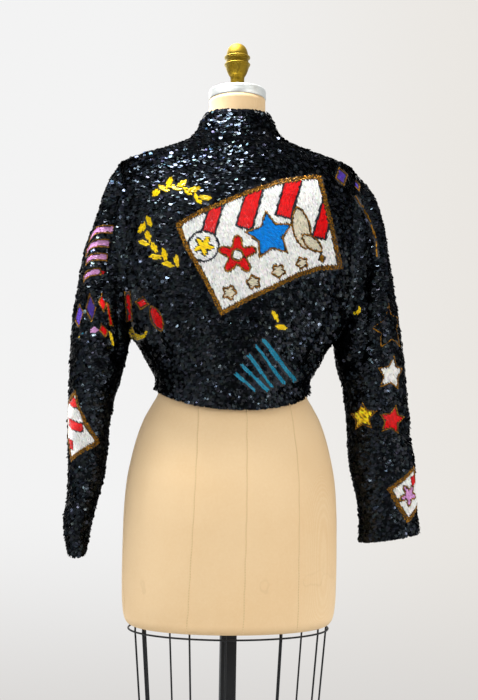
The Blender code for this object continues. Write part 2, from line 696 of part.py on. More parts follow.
def build_form():
    z, half_width, back, front, power, below = np.array(form_table()).T[:, :, None]
    turn = np.linspace(0, 2 * math.pi, FORM_SIDES, endpoint=False)
    sine = powered(np.sin(turn), power)
    y = np.where(sine > 0, back, front) * sine
    x = half_width * powered(np.cos(turn), power)
    fall = NECK_DROP * ((1 - np.sin(turn)) / 2) ** NECK_DROP_POWER
    share = ease(NECK_DROP_STARTS_Z, NECK_Z, z) * (1 - ease(NECK_Z, NECK_LEVEL_Z, z))
    slope = y * math.tan(NECK_TILT) * ease(NECK_TILT_STARTS_Z, CAP_Z, z)
    points = np.stack([x, y, z - below - fall * share + slope], axis=-1)
    rows, sides = points.shape[:2]
    number = np.arange(rows * sides).reshape(rows, sides)
    number = np.concatenate([number, number[:, :1]], axis=1)
    low, high = number[:-1], number[1:]
    round_it = np.stack([low[:, :-1], low[:, 1:], high[:, 1:], high[:, :-1]], axis=-1)
    ends = [number[0, -2::-1].tolist(), number[-1, :-1].tolist()]
    faces = round_it.reshape(-1, 4).tolist() + ends
    mesh_part("form_torso", points.reshape(-1, 3), faces, "linen")


def turned_part(name, profile, sides, look, at_z=0.0, tilt=0.0):
    """A profile down the +X side, turned round Z."""
    mesh = bpy.data.meshes.new(name)
    points = [(radius, 0, z) for radius, z in profile]
    mesh.from_pydata(points, [(k, k + 1) for k in range(len(points) - 1)], [])
    part = add_part(name, mesh, look)
    turn = part.modifiers.new("turned", "SCREW")
    turn.steps = sides
    turn.render_steps = sides
    turn.use_merge_vertices = True
    turn.merge_threshold = 0.00001
    turn.use_smooth_shade = True
    part.location = (0, 0, at_z)
    part.rotation_euler = (tilt, 0, 0)
    return part


def wire_part(name, points, radius, closed):
    """A round wire along straight runs between points."""
    curve = bpy.data.curves.new(name, "CURVE")
    curve.dimensions = "3D"
    curve.bevel_depth = radius
    curve.bevel_resolution = 1
    curve.use_fill_caps = True
    run = curve.splines.new("POLY")
    run.points.add(len(points) - 1)
    run.points.foreach_set("co", np.c_[points, np.ones(len(points))].ravel())
    run.use_cyclic_u = closed
    return add_part(name, curve, "black_steel")


def cage_points(turn, z, inset):
    """Points on the cage's oval at this height, moved in by inset."""
    share = 1 - CAGE_NARROWS * (CAGE_TOP_Z - z)
    x = (CAGE_HALF_WIDTH * share - inset) * np.cos(turn)
    y = (CAGE_HALF_DEPTH * share - inset) * np.sin(turn)
    return np.stack([x, y, z + 0 * turn], axis=-1)


def build_cage():
    round_it = np.linspace(0, 2 * math.pi, RING_POINTS, endpoint=False)
    for number, z in enumerate(CAGE_RING_Z, 1):
        wire_part(f"cage_ring_{number}", cage_points(round_it, z, 0), WIRE_RADIUS, True)
    top = FORM_LOWER[0][0] - SEAM_GAP
    heights = np.array([top, CAGE_TOP_Z, CAGE_RING_Z[-1] - WIRE_RADIUS])
    for number, (turn, thick) in enumerate(CAGE_WIRES, 1):
        radius = THICK_WIRE_RADIUS if thick else WIRE_RADIUS
        inset = WIRE_RADIUS + radius + SEAM_GAP
        turns = np.full(len(heights), math.radians(turn))
        points = cage_points(turns, np.minimum(heights, CAGE_TOP_Z), inset)
        points[:, 2] = heights
        wire_part(f"cage_wire_{number:02d}", points, radius, False)


def build_post():
    top = FORM_LOWER[0][0] - SEAM_GAP
    foot_top = FOOT_PROFILE[0][1] + SEAM_GAP
    bpy.ops.mesh.primitive_cube_add(size=1, location=(0, 0, (top + foot_top) / 2))
    post = bpy.context.object
    post.name = "post"
    post.data.name = "post"
    post.scale = (POST_SIDE, POST_SIDE, top - foot_top)
    bpy.ops.object.transform_apply(location=False, rotation=False, scale=True)
    post.data.materials.append(look_of("black_steel", "post"))
    for holder in list(post.users_collection):
        holder.objects.unlink(post)
    PARTS.objects.link(post)
    edges = post.modifiers.new("soft edges", "BEVEL")
    edges.width = POST_ROUND
    edges.segments = 2
    edges.limit_method = "ANGLE"


build_back()
build_fronts()
build_sleeve("sleeve_left", 1, SLEEVE_LEFT, CREASES_LEFT)
build_sleeve("sleeve_right", -1, SLEEVE_RIGHT, CREASES_RIGHT)
build_collar()
build_form()
turned_part("neck_cap", CAP_PROFILE, CAP_SIDES, "silver_cap", CAP_Z, NECK_TILT)
finial_foot = CAP_PROFILE[0][1] + SEAM_GAP
turned_part(
    "finial",
    FINIAL_PROFILE,
    FINIAL_SIDES,
    "old_brass",
    CAP_Z + finial_foot * math.cos(NECK_TILT),
    NECK_TILT,
)
bpy.data.objects["finial"].location.y = -finial_foot * math.sin(NECK_TILT)
turned_part("foot", FOOT_PROFILE, FOOT_SIDES, "black_steel")
build_post()
build_cage()
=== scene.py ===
"""A cropped jacket of sequinned cloth on a limbless linen dress form, dressed for the picture.

Metres, +Z up. The wearer's back faces +Y and the wearer's left is +X, as in the solid part.
The cloth's shapes are worked out from the same sizes as the solid part's, with more rings,
and the sequins and beads are seated on them.
"""

import math

import bpy
import numpy as np
from mathutils import Matrix


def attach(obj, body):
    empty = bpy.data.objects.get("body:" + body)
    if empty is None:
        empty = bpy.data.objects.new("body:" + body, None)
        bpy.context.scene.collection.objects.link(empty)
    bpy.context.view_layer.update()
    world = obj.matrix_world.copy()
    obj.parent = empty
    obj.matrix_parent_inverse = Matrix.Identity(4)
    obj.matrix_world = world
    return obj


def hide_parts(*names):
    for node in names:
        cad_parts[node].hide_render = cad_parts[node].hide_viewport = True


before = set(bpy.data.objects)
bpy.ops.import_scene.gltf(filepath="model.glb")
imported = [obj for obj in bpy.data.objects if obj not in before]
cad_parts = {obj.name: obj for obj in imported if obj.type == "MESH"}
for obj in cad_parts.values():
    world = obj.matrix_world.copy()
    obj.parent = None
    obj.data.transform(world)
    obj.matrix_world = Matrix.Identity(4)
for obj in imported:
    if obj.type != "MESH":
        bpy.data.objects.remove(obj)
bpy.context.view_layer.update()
ROLL = np.random.default_rng(20)

# The picture's size in pixels, and the camera: its turn about the form, distance, height
# and lens, the lean of its level, and how far to its right it stands from the form's axis.
PICTURE_WIDTH = 478
PICTURE_HEIGHT = 700
CAMERA_AZIMUTH = math.radians(173.0)
CAMERA_FAR = 2.5
CAMERA_Z = 1.11
CAMERA_LENS_MM = 80.4
SENSOR_MM = 36.0
CAMERA_LEAN = 0.0172
AIM_RIGHT = 0.0094

# The cloth's thickness, and the room left at seams, down the front, and on the form.
WALL = 0.0025
SEAM_GAP = 0.0003
FRONT_GAP = 0.0012
SEAT_GAP = 0.0006
SEQUIN_BED = 0.0010  # how far the ground cloth lies below the tops of its sequins

# The shoulder line, seen from behind: distance from the middle, and height.
SHOULDER = (
    (0.1850, 1.4060),
    (0.1740, 1.4115),
    (0.1600, 1.4170),
    (0.1430, 1.4222),
    (0.1240, 1.4285),
    (0.1030, 1.4360),
    (0.0850, 1.4435),
    (0.0740, 1.4520),
    (0.0665, 1.4600),
)
# The jacket's body: height, half width, depth behind and in front, and the oval's power.
BODY_COLUMNS = ("z", "half_width", "back", "front", "power")
BODY = (
    (1.0460, 0.1240, 0.1035, 0.1040, 2.2),
    (1.0600, 0.1215, 0.1060, 0.1080, 2.2),
    (1.0780, 0.1300, 0.1120, 0.1140, 2.2),
    (1.0940, 0.1390, 0.1160, 0.1190, 2.2),
    (1.1100, 0.1480, 0.1190, 0.1230, 2.2),
    (1.1250, 0.1590, 0.1210, 0.1260, 2.3),
    (1.1600, 0.1780, 0.1240, 0.1330, 2.4),
    (1.2000, 0.1900, 0.1260, 0.1400, 2.4),
    (1.2500, 0.1990, 0.1270, 0.1420, 2.4),
    (1.3000, 0.2010, 0.1240, 0.1350, 2.4),
    (1.3500, 0.1990, 0.1160, 0.1190, 2.4),
    (1.3800, 0.1940, 0.1080, 0.1040, 2.4),
    (1.4060, 0.1850, 0.0990, 0.0900, 2.4),
)
# Depth behind and in front, and the oval's power, of the rings over the shoulders.
SHOULDER_DEPTHS = (
    (0.0955, 0.0850, 2.3),
    (0.0920, 0.0820, 2.3),
    (0.0885, 0.0790, 2.3),
    (0.0840, 0.0760, 2.2),
    (0.0780, 0.0728, 2.2),
    (0.0710, 0.0695, 2.1),
    (0.0660, 0.0668, 2.1),
    (0.0620, 0.0640, 2.0),
)
# The hem and the neckline: their heights, and how far they fall behind and in front.
HEM_Z = 1.0460
HEM_DIP_BACK = 0.0260
HEM_DIP_FRONT = 0.0120
HEM_DIP_POWER = 1.5
HEM_DIP_ENDS_Z = 1.1250
NECK_Z = 1.4600
NECK_DROP = 0.0420
NECK_DROP_POWER = 2.2
NECK_DROP_STARTS_Z = 1.2800
NECK_EDGE_STEP = 0.0010

# The armhole's height and depth, and how many steps the panels are worked out in.
UNDERARM_Z = 1.1250
SHOULDER_TIP_Z = 1.4060
ARMHOLE_BACK = 0.0700
ARMHOLE_FRONT = 0.0620
ARMHOLE_POWER = 2.2
ARMHOLE_STEPS = 44
HEM_STEPS = 14
SHOULDER_STEPS = 12
BACK_HALF_COLUMNS = 37
FRONT_COLUMNS = 37
EDGE_REACH = 0.8  # the share of a half panel whose columns make room for its edge
RING_SAMPLES = 300
COARSER = 2  # the ground cloth takes every second row and column of the fine grid
# A small turn and rise, to find which way a surface faces.
STEP_TURN = 0.004
STEP_Z = 0.0006

# Folds of the body: from and to as degrees round from the wearer's left side and height,
# half width, and depth, which is below nought for a trough. FOLDS are the solid part's too.
FOLDS = (
    (47.0, 1.300, 40.0, 1.105, 0.011, -0.0050),
    (55.0, 1.215, 52.0, 1.095, 0.012, 0.0050),
    (69.0, 1.175, 67.0, 1.080, 0.010, -0.0035),
    (120.0, 1.200, 116.0, 1.095, 0.010, -0.0040),
    (131.0, 1.260, 127.0, 1.100, 0.012, 0.0050),
    (143.0, 1.310, 139.0, 1.105, 0.011, -0.0055),
    (96.0, 1.130, 93.0, 1.070, 0.010, -0.0025),
    (217.0, 1.290, 222.0, 1.105, 0.012, -0.0050),
    (230.0, 1.230, 235.0, 1.095, 0.013, 0.0045),
    (244.0, 1.190, 247.0, 1.085, 0.010, -0.0035),
    (294.0, 1.190, 292.0, 1.085, 0.010, -0.0035),
    (309.0, 1.240, 305.0, 1.095, 0.013, 0.0050),
    (323.0, 1.300, 318.0, 1.105, 0.012, -0.0050),
)
SMALL_FOLDS = (
    (33.0, 1.330, 36.0, 1.190, 0.007, -0.0030),
    (150.0, 1.340, 148.0, 1.180, 0.007, -0.0030),
    (78.0, 1.150, 80.0, 1.070, 0.007, 0.0018),
    (107.0, 1.160, 104.0, 1.075, 0.007, 0.0018),
    (88.0, 1.395, 60.0, 1.370, 0.009, -0.0015),
    (128.0, 1.385, 140.0, 1.335, 0.009, -0.0018),
    (52.0, 1.385, 41.0, 1.340, 0.008, -0.0018),
    (210.0, 1.340, 207.0, 1.190, 0.007, -0.0028),
    (332.0, 1.345, 334.0, 1.190, 0.007, -0.0028),
    (256.0, 1.160, 258.0, 1.075, 0.007, 0.0018),
    (282.0, 1.165, 281.0, 1.080, 0.007, 0.0018),
    (225.0, 1.380, 215.0, 1.330, 0.009, -0.0018),
    (315.0, 1.380, 325.0, 1.330, 0.009, -0.0018),
)
FOLD_SCALE = 0.145  # metres round the body for each radian
FOLD_START_SHARE = 0.4  # a fold's depth at its start, as a share of its depth at its end

# Sleeves, from the armhole to the cuff: the point nearest the body and the one farthest
# out, both seen from behind, the depth behind and in front, how far the middle lies
# behind the shoulder, and the oval's power.
SLEEVE_COLUMNS = ("in_x", "in_z", "out_x", "out_z", "back", "front", "middle_y", "power")
SLEEVE_LEFT = (
    (0.1590, 1.1250, 0.1850, 1.4035, 0.0700, 0.0620, 0.000, 2.2),
    (0.1608, 1.1257, 0.1970, 1.3850, 0.0640, 0.0575, 0.000, 2.2),
    (0.1625, 1.1255, 0.2085, 1.3580, 0.0615, 0.0555, 0.000, 2.2),
    (0.1642, 1.1240, 0.2220, 1.3120, 0.0640, 0.0590, -0.001, 2.2),
    (0.1660, 1.1200, 0.2385, 1.2620, 0.0690, 0.0640, -0.002, 2.1),
    (0.1680, 1.1130, 0.2480, 1.2050, 0.0715, 0.0675, -0.003, 2.1),
    (0.1700, 1.1000, 0.2555, 1.1500, 0.0710, 0.0680, -0.005, 2.1),
    (0.1740, 1.0780, 0.2585, 1.0900, 0.0690, 0.0660, -0.008, 2.1),
    (0.1810, 1.0480, 0.2585, 1.0500, 0.0665, 0.0640, -0.011, 2.1),
    (0.1880, 1.0200, 0.2600, 1.0150, 0.0645, 0.0620, -0.014, 2.1),
    (0.1960, 0.9850, 0.2605, 0.9800, 0.0625, 0.0605, -0.017, 2.1),
    (0.1975, 0.9450, 0.2590, 0.9400, 0.0610, 0.0595, -0.020, 2.1),
    (0.2020, 0.9050, 0.2580, 0.9000, 0.0590, 0.0580, -0.023, 2.1),
    (0.2105, 0.8700, 0.2600, 0.8650, 0.0570, 0.0565, -0.026, 2.1),
    (0.2200, 0.8350, 0.2640, 0.8320, 0.0555, 0.0550, -0.028, 2.1),
    (0.2250, 0.8050, 0.2610, 0.8030, 0.0545, 0.0540, -0.030, 2.1),
    (0.2290, 0.7840, 0.2560, 0.7800, 0.0540, 0.0535, -0.031, 2.1),
)
SLEEVE_RIGHT = (
    (0.1590, 1.1250, 0.1850, 1.4035, 0.0700, 0.0620, 0.000, 2.2),
    (0.1605, 1.1257, 0.2025, 1.3880, 0.0640, 0.0575, 0.000, 2.2),
    (0.1620, 1.1255, 0.2215, 1.3580, 0.0610, 0.0555, 0.000, 2.2),
    (0.1635, 1.1240, 0.2385, 1.3100, 0.0630, 0.0585, -0.001, 2.2),
    (0.1650, 1.1210, 0.2485, 1.2620, 0.0670, 0.0620, -0.002, 2.1),
    (0.1667, 1.1150, 0.2590, 1.2100, 0.0680, 0.0635, -0.003, 2.1),
    (0.1690, 1.1000, 0.2690, 1.1500, 0.0660, 0.0620, -0.005, 2.1),
    (0.1730, 1.0780, 0.2785, 1.0950, 0.0620, 0.0580, -0.008, 2.1),
    (0.1820, 1.0450, 0.2840, 1.0500, 0.0580, 0.0550, -0.011, 2.1),
    (0.1875, 1.0150, 0.2895, 1.0150, 0.0540, 0.0515, -0.013, 2.1),
    (0.1920, 0.9800, 0.2935, 0.9750, 0.0500, 0.0485, -0.015, 2.1),
    (0.1950, 0.9400, 0.3015, 0.9350, 0.0460, 0.0450, -0.017, 2.1),
    (0.2030, 0.9000, 0.3045, 0.9000, 0.0425, 0.0420, -0.019, 2.1),
    (0.2120, 0.8650, 0.3085, 0.8680, 0.0395, 0.0395, -0.021, 2.1),
    (0.2155, 0.8350, 0.3110, 0.8430, 0.0375, 0.0375, -0.023, 2.1),
    (0.2155, 0.8150, 0.3130, 0.8280, 0.0360, 0.0360, -0.024, 2.1),
    (0.2150, 0.8020, 0.3145, 0.8170, 0.0350, 0.0350, -0.025, 2.1),
)
SLEEVE_LEAVES_ARMHOLE = 5.0  # sections over which a sleeve leaves the armhole's form
LONG_CREASES_BEGIN = 1.2  # sections over which the creases that run down it set in
SLEEVE_RING_STEPS = 112

# Creases of a sleeve: section, degrees round from the side next to the body (90 is
# behind), half span in degrees, sections climbed over one radian, half width in sections,
# and depth, below nought for a trough. The first ones are the solid part's too.
CREASES_LEFT = (
    (6.3, 60.0, 55.0, -0.8, 0.50, -0.0050),
    (7.6, 75.0, 60.0, -0.5, 0.45, -0.0045),
    (8.9, 40.0, 50.0, 0.4, 0.42, -0.0040),
    (10.3, 95.0, 50.0, 0.5, 0.50, -0.0035),
    (12.2, 70.0, 55.0, -0.3, 0.50, -0.0035),
    (13.8, 110.0, 50.0, 0.3, 0.45, -0.0030),
    (7.1, 285.0, 60.0, 0.6, 0.48, -0.0050),
    (8.6, 300.0, 55.0, 0.4, 0.45, -0.0045),
    (10.8, 270.0, 55.0, -0.4, 0.50, -0.0035),
    (13.1, 290.0, 50.0, 0.3, 0.48, -0.0035),
    (5.4, 120.0, 45.0, -0.7, 0.30, -0.0022),
    (9.6, 140.0, 40.0, 0.5, 0.28, -0.0020),
    (11.2, 30.0, 35.0, -0.4, 0.28, -0.0018),
    (13.0, 150.0, 40.0, -0.5, 0.28, -0.0018),
    (14.7, 80.0, 45.0, 0.3, 0.28, -0.0016),
    (6.0, 250.0, 45.0, 0.6, 0.30, -0.0022),
    (9.7, 235.0, 40.0, -0.4, 0.28, -0.0018),
    (12.0, 250.0, 40.0, 0.4, 0.28, -0.0018),
    (14.5, 275.0, 45.0, -0.3, 0.28, -0.0016),
)
CREASES_RIGHT = (
    (6.4, 55.0, 50.0, -0.8, 0.50, -0.0050),
    (7.7, 65.0, 55.0, -0.6, 0.45, -0.0045),
    (9.4, 100.0, 55.0, 0.5, 0.48, -0.0040),
    (11.3, 60.0, 50.0, -0.4, 0.50, -0.0035),
    (13.3, 120.0, 50.0, 0.4, 0.48, -0.0035),
    (7.2, 300.0, 60.0, 0.7, 0.48, -0.0050),
    (8.8, 285.0, 55.0, 0.4, 0.45, -0.0045),
    (11.0, 265.0, 50.0, -0.5, 0.50, -0.0035),
    (13.6, 290.0, 50.0, 0.3, 0.45, -0.0030),
    (5.5, 115.0, 45.0, -0.6, 0.30, -0.0022),
    (8.5, 145.0, 40.0, 0.4, 0.28, -0.0020),
    (10.4, 30.0, 35.0, -0.5, 0.28, -0.0018),
    (12.4, 75.0, 45.0, 0.4, 0.28, -0.0018),
    (14.6, 95.0, 50.0, -0.3, 0.30, -0.0018),
    (6.1, 245.0, 45.0, 0.6, 0.30, -0.0022),
    (9.9, 230.0, 40.0, -0.4, 0.28, -0.0018),
    (12.3, 250.0, 40.0, 0.5, 0.28, -0.0018),
    (14.8, 285.0, 45.0, -0.3, 0.28, -0.0016),
)
# Creases that run down a sleeve: from and to, each as a section and degrees round, half
# width in metres, and depth. The sleeve hangs over itself behind and before the armhole.
LONG_CREASES_LEFT = (
    (1.2, 128.0, 4.2, 106.0, 0.0110, -0.0080),
    (1.6, 150.0, 4.8, 134.0, 0.0130, 0.0045),
    (3.6, 66.0, 6.4, 40.0, 0.0095, -0.0060),
    (1.5, 238.0, 4.4, 256.0, 0.0110, -0.0065),
    (3.8, 292.0, 6.2, 318.0, 0.0095, -0.0055),
)
LONG_CREASES_RIGHT = (
    (1.2, 134.0, 3.2, 92.0, 0.0110, -0.0085),
    (3.2, 92.0, 6.2, 66.0, 0.0110, -0.0085),
    (1.8, 152.0, 5.4, 112.0, 0.0130, 0.0045),
    (1.5, 236.0, 4.4, 256.0, 0.0110, -0.0065),
    (3.8, 292.0, 6.2, 316.0, 0.0095, -0.0055),
)
SECTION_REACH = 0.0250  # a sleeve's section, and a degree round it, in metres
DEGREE_REACH = 0.00105

# The stand collar: height above the neckline, half width, and depth behind and in front.
COLLAR = (
    (0.0050, 0.0642, 0.0597, 0.0620),
    (0.0120, 0.0610, 0.0572, 0.0597),
    (0.0195, 0.0572, 0.0552, 0.0577),
    (0.0262, 0.0548, 0.0542, 0.0562),
)
COLLAR_COLUMNS = 141
COLLAR_ROWS = 15

# The dress form: height, half width, depth behind and in front, and the oval's power.
FORM_LOWER = (
    (0.6735, 0.1580, 0.1120, 0.1060, 2.1),
    (0.6760, 0.1620, 0.1160, 0.1100, 2.1),
    (0.6820, 0.1660, 0.1195, 0.1135, 2.1),
    (0.6940, 0.1690, 0.1220, 0.1160, 2.1),
    (0.7200, 0.1710, 0.1235, 0.1175, 2.1),
    (0.7600, 0.1715, 0.1245, 0.1185, 2.1),
    (0.8000, 0.1712, 0.1250, 0.1180, 2.1),
    (0.8400, 0.1705, 0.1250, 0.1160, 2.1),
    (0.8700, 0.1690, 0.1240, 0.1130, 2.1),
    (0.9020, 0.1660, 0.1215, 0.1100, 2.1),
    (0.9340, 0.1600, 0.1165, 0.1060, 2.1),
    (0.9660, 0.1520, 0.1095, 0.1020, 2.1),
    (0.9980, 0.1405, 0.1015, 0.0975, 2.1),
    (1.0200, 0.1285, 0.0950, 0.0940, 2.1),
    (1.0400, 0.1180, 0.0895, 0.0910, 2.1),
    (1.0550, 0.1160, 0.0870, 0.0900, 2.1),
    (1.0750, 0.1170, 0.0870, 0.0910, 2.1),
    (1.1100, 0.1210, 0.0900, 0.0960, 2.1),
    (1.1600, 0.1290, 0.0970, 0.1060, 2.2),
    (1.2100, 0.1360, 0.1020, 0.1180, 2.2),
    (1.2500, 0.1420, 0.1040, 0.1250, 2.2),
    (1.3000, 0.1480, 0.1030, 0.1160, 2.3),
    (1.3400, 0.1540, 0.0980, 0.0980, 2.3),
    (1.3700, 0.1600, 0.0900, 0.0820, 2.3),
    (1.3900, 0.1620, 0.0830, 0.0740, 2.3),
    (1.4020, 0.1600, 0.0790, 0.0700, 2.3),
)
FORM_SHOULDER_REACH = (0.0700, 0.1500)  # where its shoulders follow the jacket's
FORM_DEPTH_INSIDE = 0.0120
FORM_NECK = (
    (1.4600, 0.0560, 0.0520, 0.0550, 2.0),
    (1.4700, 0.0490, 0.0480, 0.0500, 2.0),
    (1.4800, 0.0456, 0.0460, 0.0470, 2.0),
    (1.4940, 0.0448, 0.0450, 0.0455, 2.0),
    (1.5080, 0.0446, 0.0446, 0.0446, 2.0),
)
# The form's seams: behind (1) or in front (-1), then heights with distances from the middle.
SIDE_SEAM = (
    (0.660, 0.1500),
    (0.700, 0.1680),
    (0.800, 0.1699),
    (0.870, 0.1678),
    (0.934, 0.1588),
    (0.966, 0.1509),
    (0.998, 0.1394),
    (1.020, 0.1275),
    (1.060, 0.1152),
)
SEAMS = (
    (1, (0.660, -0.0086), (0.840, -0.0100), (1.060, -0.0120)),
    (1, (0.660, 0.0777), (0.880, 0.0690), (1.060, 0.0600)),
    (1, (0.660, -0.0962), (0.900, -0.0940), (1.060, -0.0790)),
    (-1, (0.660, 0.0000), (0.840, 0.0000), (1.060, 0.0000)),
    (-1, (0.660, 0.0860), (0.880, 0.0810), (1.060, 0.0700)),
    (-1, (0.660, -0.0860), (0.880, -0.0810), (1.060, -0.0700)),
    (1, *SIDE_SEAM),
    (1, *((z, -x) for z, x in SIDE_SEAM)),
)
SEAM_WAVES = ((0.0003, 130.0), (0.0001, 790.0))  # how far it wavers, and radians a metre
SEAM_TOP_Z = 1.0500
SEAM_POINTS = 70
SEAM_SIDES = 6
SEAM_HALF_WIDTH = 0.0009
SEAM_HEIGHT = 0.0003
FORM_SIDES = 144
FORM_RINGS = 150
FORM_RIM_RINGS = 12
NECK_LEVEL_Z = 1.5000
NECK_TILT = math.radians(9.0)
NECK_TILT_STARTS_Z = 1.4700
CAP_Z = 1.5083

# Turned pieces: radius and height, down the outer side from the top.
CAP_PROFILE = (
    (0.0000, 0.0165),
    (0.0405, 0.0165),
    (0.0425, 0.0163),
    (0.0440, 0.0159),
    (0.0450, 0.0151),
    (0.0455, 0.0140),
    (0.0456, 0.0110),
    (0.0454, 0.0095),
    (0.0456, 0.0080),
    (0.0456, 0.0016),
    (0.0453, 0.0006),
    (0.0446, 0.0000),
    (0.0000, 0.0000),
)
FINIAL_PROFILE = (
    (0.0000, 0.0780),
    (0.0032, 0.0778),
    (0.0060, 0.0771),
    (0.0087, 0.0759),
    (0.0110, 0.0742),
    (0.0131, 0.0719),
    (0.0148, 0.0692),
    (0.0160, 0.0662),
    (0.0168, 0.0632),
    (0.0172, 0.0608),
    (0.0173, 0.0588),
    (0.0170, 0.0580),
    (0.0166, 0.0574),
    (0.0178, 0.0568),
    (0.0196, 0.0565),
    (0.0204, 0.0560),
    (0.0208, 0.0553),
    (0.0208, 0.0546),
    (0.0206, 0.0538),
    (0.0200, 0.0532),
    (0.0188, 0.0524),
    (0.0179, 0.0515),
    (0.0175, 0.0503),
    (0.0176, 0.0490),
    (0.0180, 0.0478),
    (0.0181, 0.0466),
    (0.0174, 0.0458),
    (0.0167, 0.0453),
    (0.0180, 0.0448),
    (0.0197, 0.0445),
    (0.0204, 0.0440),
    (0.0208, 0.0433),
    (0.0208, 0.0426),
    (0.0204, 0.0417),
    (0.0196, 0.0408),
    (0.0190, 0.0392),
    (0.0181, 0.0370),
    (0.0172, 0.0340),
    (0.0161, 0.0310),
    (0.0149, 0.0283),
    (0.0138, 0.0260),
    (0.0126, 0.0242),
    (0.0115, 0.0228),
    (0.0110, 0.0180),
    (0.0108, 0.0120),
    (0.0104, 0.0088),
    (0.0102, 0.0062),
    (0.0118, 0.0054),
    (0.0134, 0.0050),
    (0.0143, 0.0043),
    (0.0148, 0.0034),
    (0.0150, 0.0022),
    (0.0145, 0.0000),
    (0.0000, 0.0000),
)
FOOT_PROFILE = (
    (0.0000, 0.0420),
    (0.0255, 0.0420),
    (0.0280, 0.0414),
    (0.0296, 0.0402),
    (0.0302, 0.0385),
    (0.0306, 0.0330),
    (0.0320, 0.0270),
    (0.0370, 0.0236),
    (0.0500, 0.0205),
    (0.1050, 0.0172),
    (0.1650, 0.0140),
    (0.1820, 0.0120),
    (0.1910, 0.0095),
    (0.1944, 0.0074),
    (0.1950, 0.0050),
    (0.1946, 0.0020),
    (0.1930, 0.0000),
    (0.0000, 0.0000),
)
TURNED_SIDES = 96

# The wire skirt cage: its oval at the top, the rings' heights, how much it narrows for each
# metre down, and the wires, as degrees round and whether thick.
CAGE_HALF_WIDTH = 0.1600
CAGE_HALF_DEPTH = 0.1110
CAGE_TOP_Z = 0.6660
CAGE_RING_Z = (0.6660, 0.4300)
CAGE_NARROWS = 0.50
WIRE_RADIUS = 0.0015
THICK_WIRE_RADIUS = 0.0025
CAGE_WIRES = (
    (16.0, False),
    (27.0, True),
    (63.0, False),
    (84.0, False),
    (117.0, True),
    (150.0, False),
    (172.0, False),
    (214.0, False),
    (270.0, False),
    (304.0, False),
    (326.0, False),
)
RING_POINTS = 120
WIRE_SIDES = 12
WIRE_STEPS = 14

# Sequins: faceted cups, sewn in rows that overlap like scales.
SEQUIN_RADIUS = 0.0032
SEQUIN_SIDES = 7
SEQUIN_RIM = 0.025  # heights of the rim and of the middle's underside, as shares of the radius
SEQUIN_UNDER = -0.04
SEQUIN_DOWN = 0.0041  # between rows
SEQUIN_ACROSS = 0.0042  # along a row
EDGE_ROW_INSIDE = 0.0008  # the middles of the first and last rows, from the cloth's edges
SEQUIN_LEAN = math.radians(17)  # each one's upper edge lies under the row above
SEQUIN_SPREAD = math.radians(10)
SEQUIN_LOOSE = 0.20  # the share of them that hang looser than the others
SEQUIN_LIFT = (-0.0002, 0.0010)  # from the panel's face, least and most
SEQUIN_SHADES = (0.55, 1.35)  # shares of black, least and most
SEQUIN_WANDER = (0.12, 0.10)  # down and across, as shares of the rows' and places' steps
BRUSHED = 0.30  # how far those of the right shoulder are stroked towards the sleeve
BRUSHED_X = (0.02, -0.05)  # where the stroking starts and where it is full
BRUSHED_Z = (1.33, 1.38)  # the same for heights

# Colours, as the eye sees them on a screen.
BLACK = (0.138, 0.150, 0.165)
WHITE = (0.915, 0.905, 0.885)
CREAM = (0.84, 0.80, 0.70)
RED = (0.84, 0.0, 0.02)
BLUE = (0.0, 0.49, 0.83)
YELLOW = (0.97, 0.81, 0.06)
GOLD = (0.95, 0.76, 0.12)
BRONZE = (0.54, 0.36, 0.05)
TEAL = (0.06, 0.50, 0.62)
LILAC = (0.82, 0.58, 0.78)
PURPLE = (0.30, 0.20, 0.58)
INK = (0.07, 0.09, 0.14)

# Bugles and round beads, in metres, and the size of a pixel on the jacket.
PIXEL = 0.0016
BUGLE = (0.0040, 0.0020, 0.0013)  # length, width and height
BUGLE_LIFT = 0.0004  # from the sequins' bed
BEAD_RADIUS = 0.0013
BEAD_LIFT = 0.0009
LIFT_SPREAD = 0.00012
BEAD_ASKEW = 0.10  # radians along the cloth, and out of it
BEAD_TILT = 0.09
# How close beads are sewn, in pixels of the picture: bugles along and across their rows,
# and beads along a rim.
BUGLE_STEP = 2.6
BUGLE_ROW = 1.22
RIM_STEP = 1.55
ROW_WAVE = (0.5, 7.0)  # how far rows of bugles waver, and over what length
FILL_WANDER = 0.10
RIM_WANDER = 0.30
RIM_FIRST = 0.3  # from the outline to a rim's first row
RIM_ROW = 1.45  # from one row to the next
FILL_IN_RIM = 0.1  # between a rim and the fill within it
FILL_BARE = 0.55  # between the outline and a fill with no rim
LATER_CLEARS = 0.7  # round a motif that lies over others
LINE_WIDTH = 2.6
FAR_OFF = -1e4  # stands for no place in the picture
# How far round a motif, and within and outside an open outline, sequins leave room.
CLEAR_ROUND_MOTIFS = 1.3
CLEAR_OUTSIDE = 1.2
CLEAR_WITHIN = 1.8
# How much the beads' brightness differs, in metal colours and in the others.
METAL_SPREAD = 0.42
GLASS_SPREAD = 0.11

# The beaded panel across the shoulders, as the picture shows its outline.
PANEL = (
    (176.0, 224.0),
    (195.0, 212.5),
    (214.7, 203.6),
    (247.0, 190.6),
    (279.8, 179.8),
    (308.0, 175.4),
    (321.0, 175.4),
    (331.8, 218.8),
    (342.7, 268.7),
    (321.0, 269.8),
    (299.3, 276.3),
    (277.6, 287.0),
    (249.4, 300.0),
    (221.0, 315.3),
    (201.7, 276.3),
    (184.0, 246.0),
)
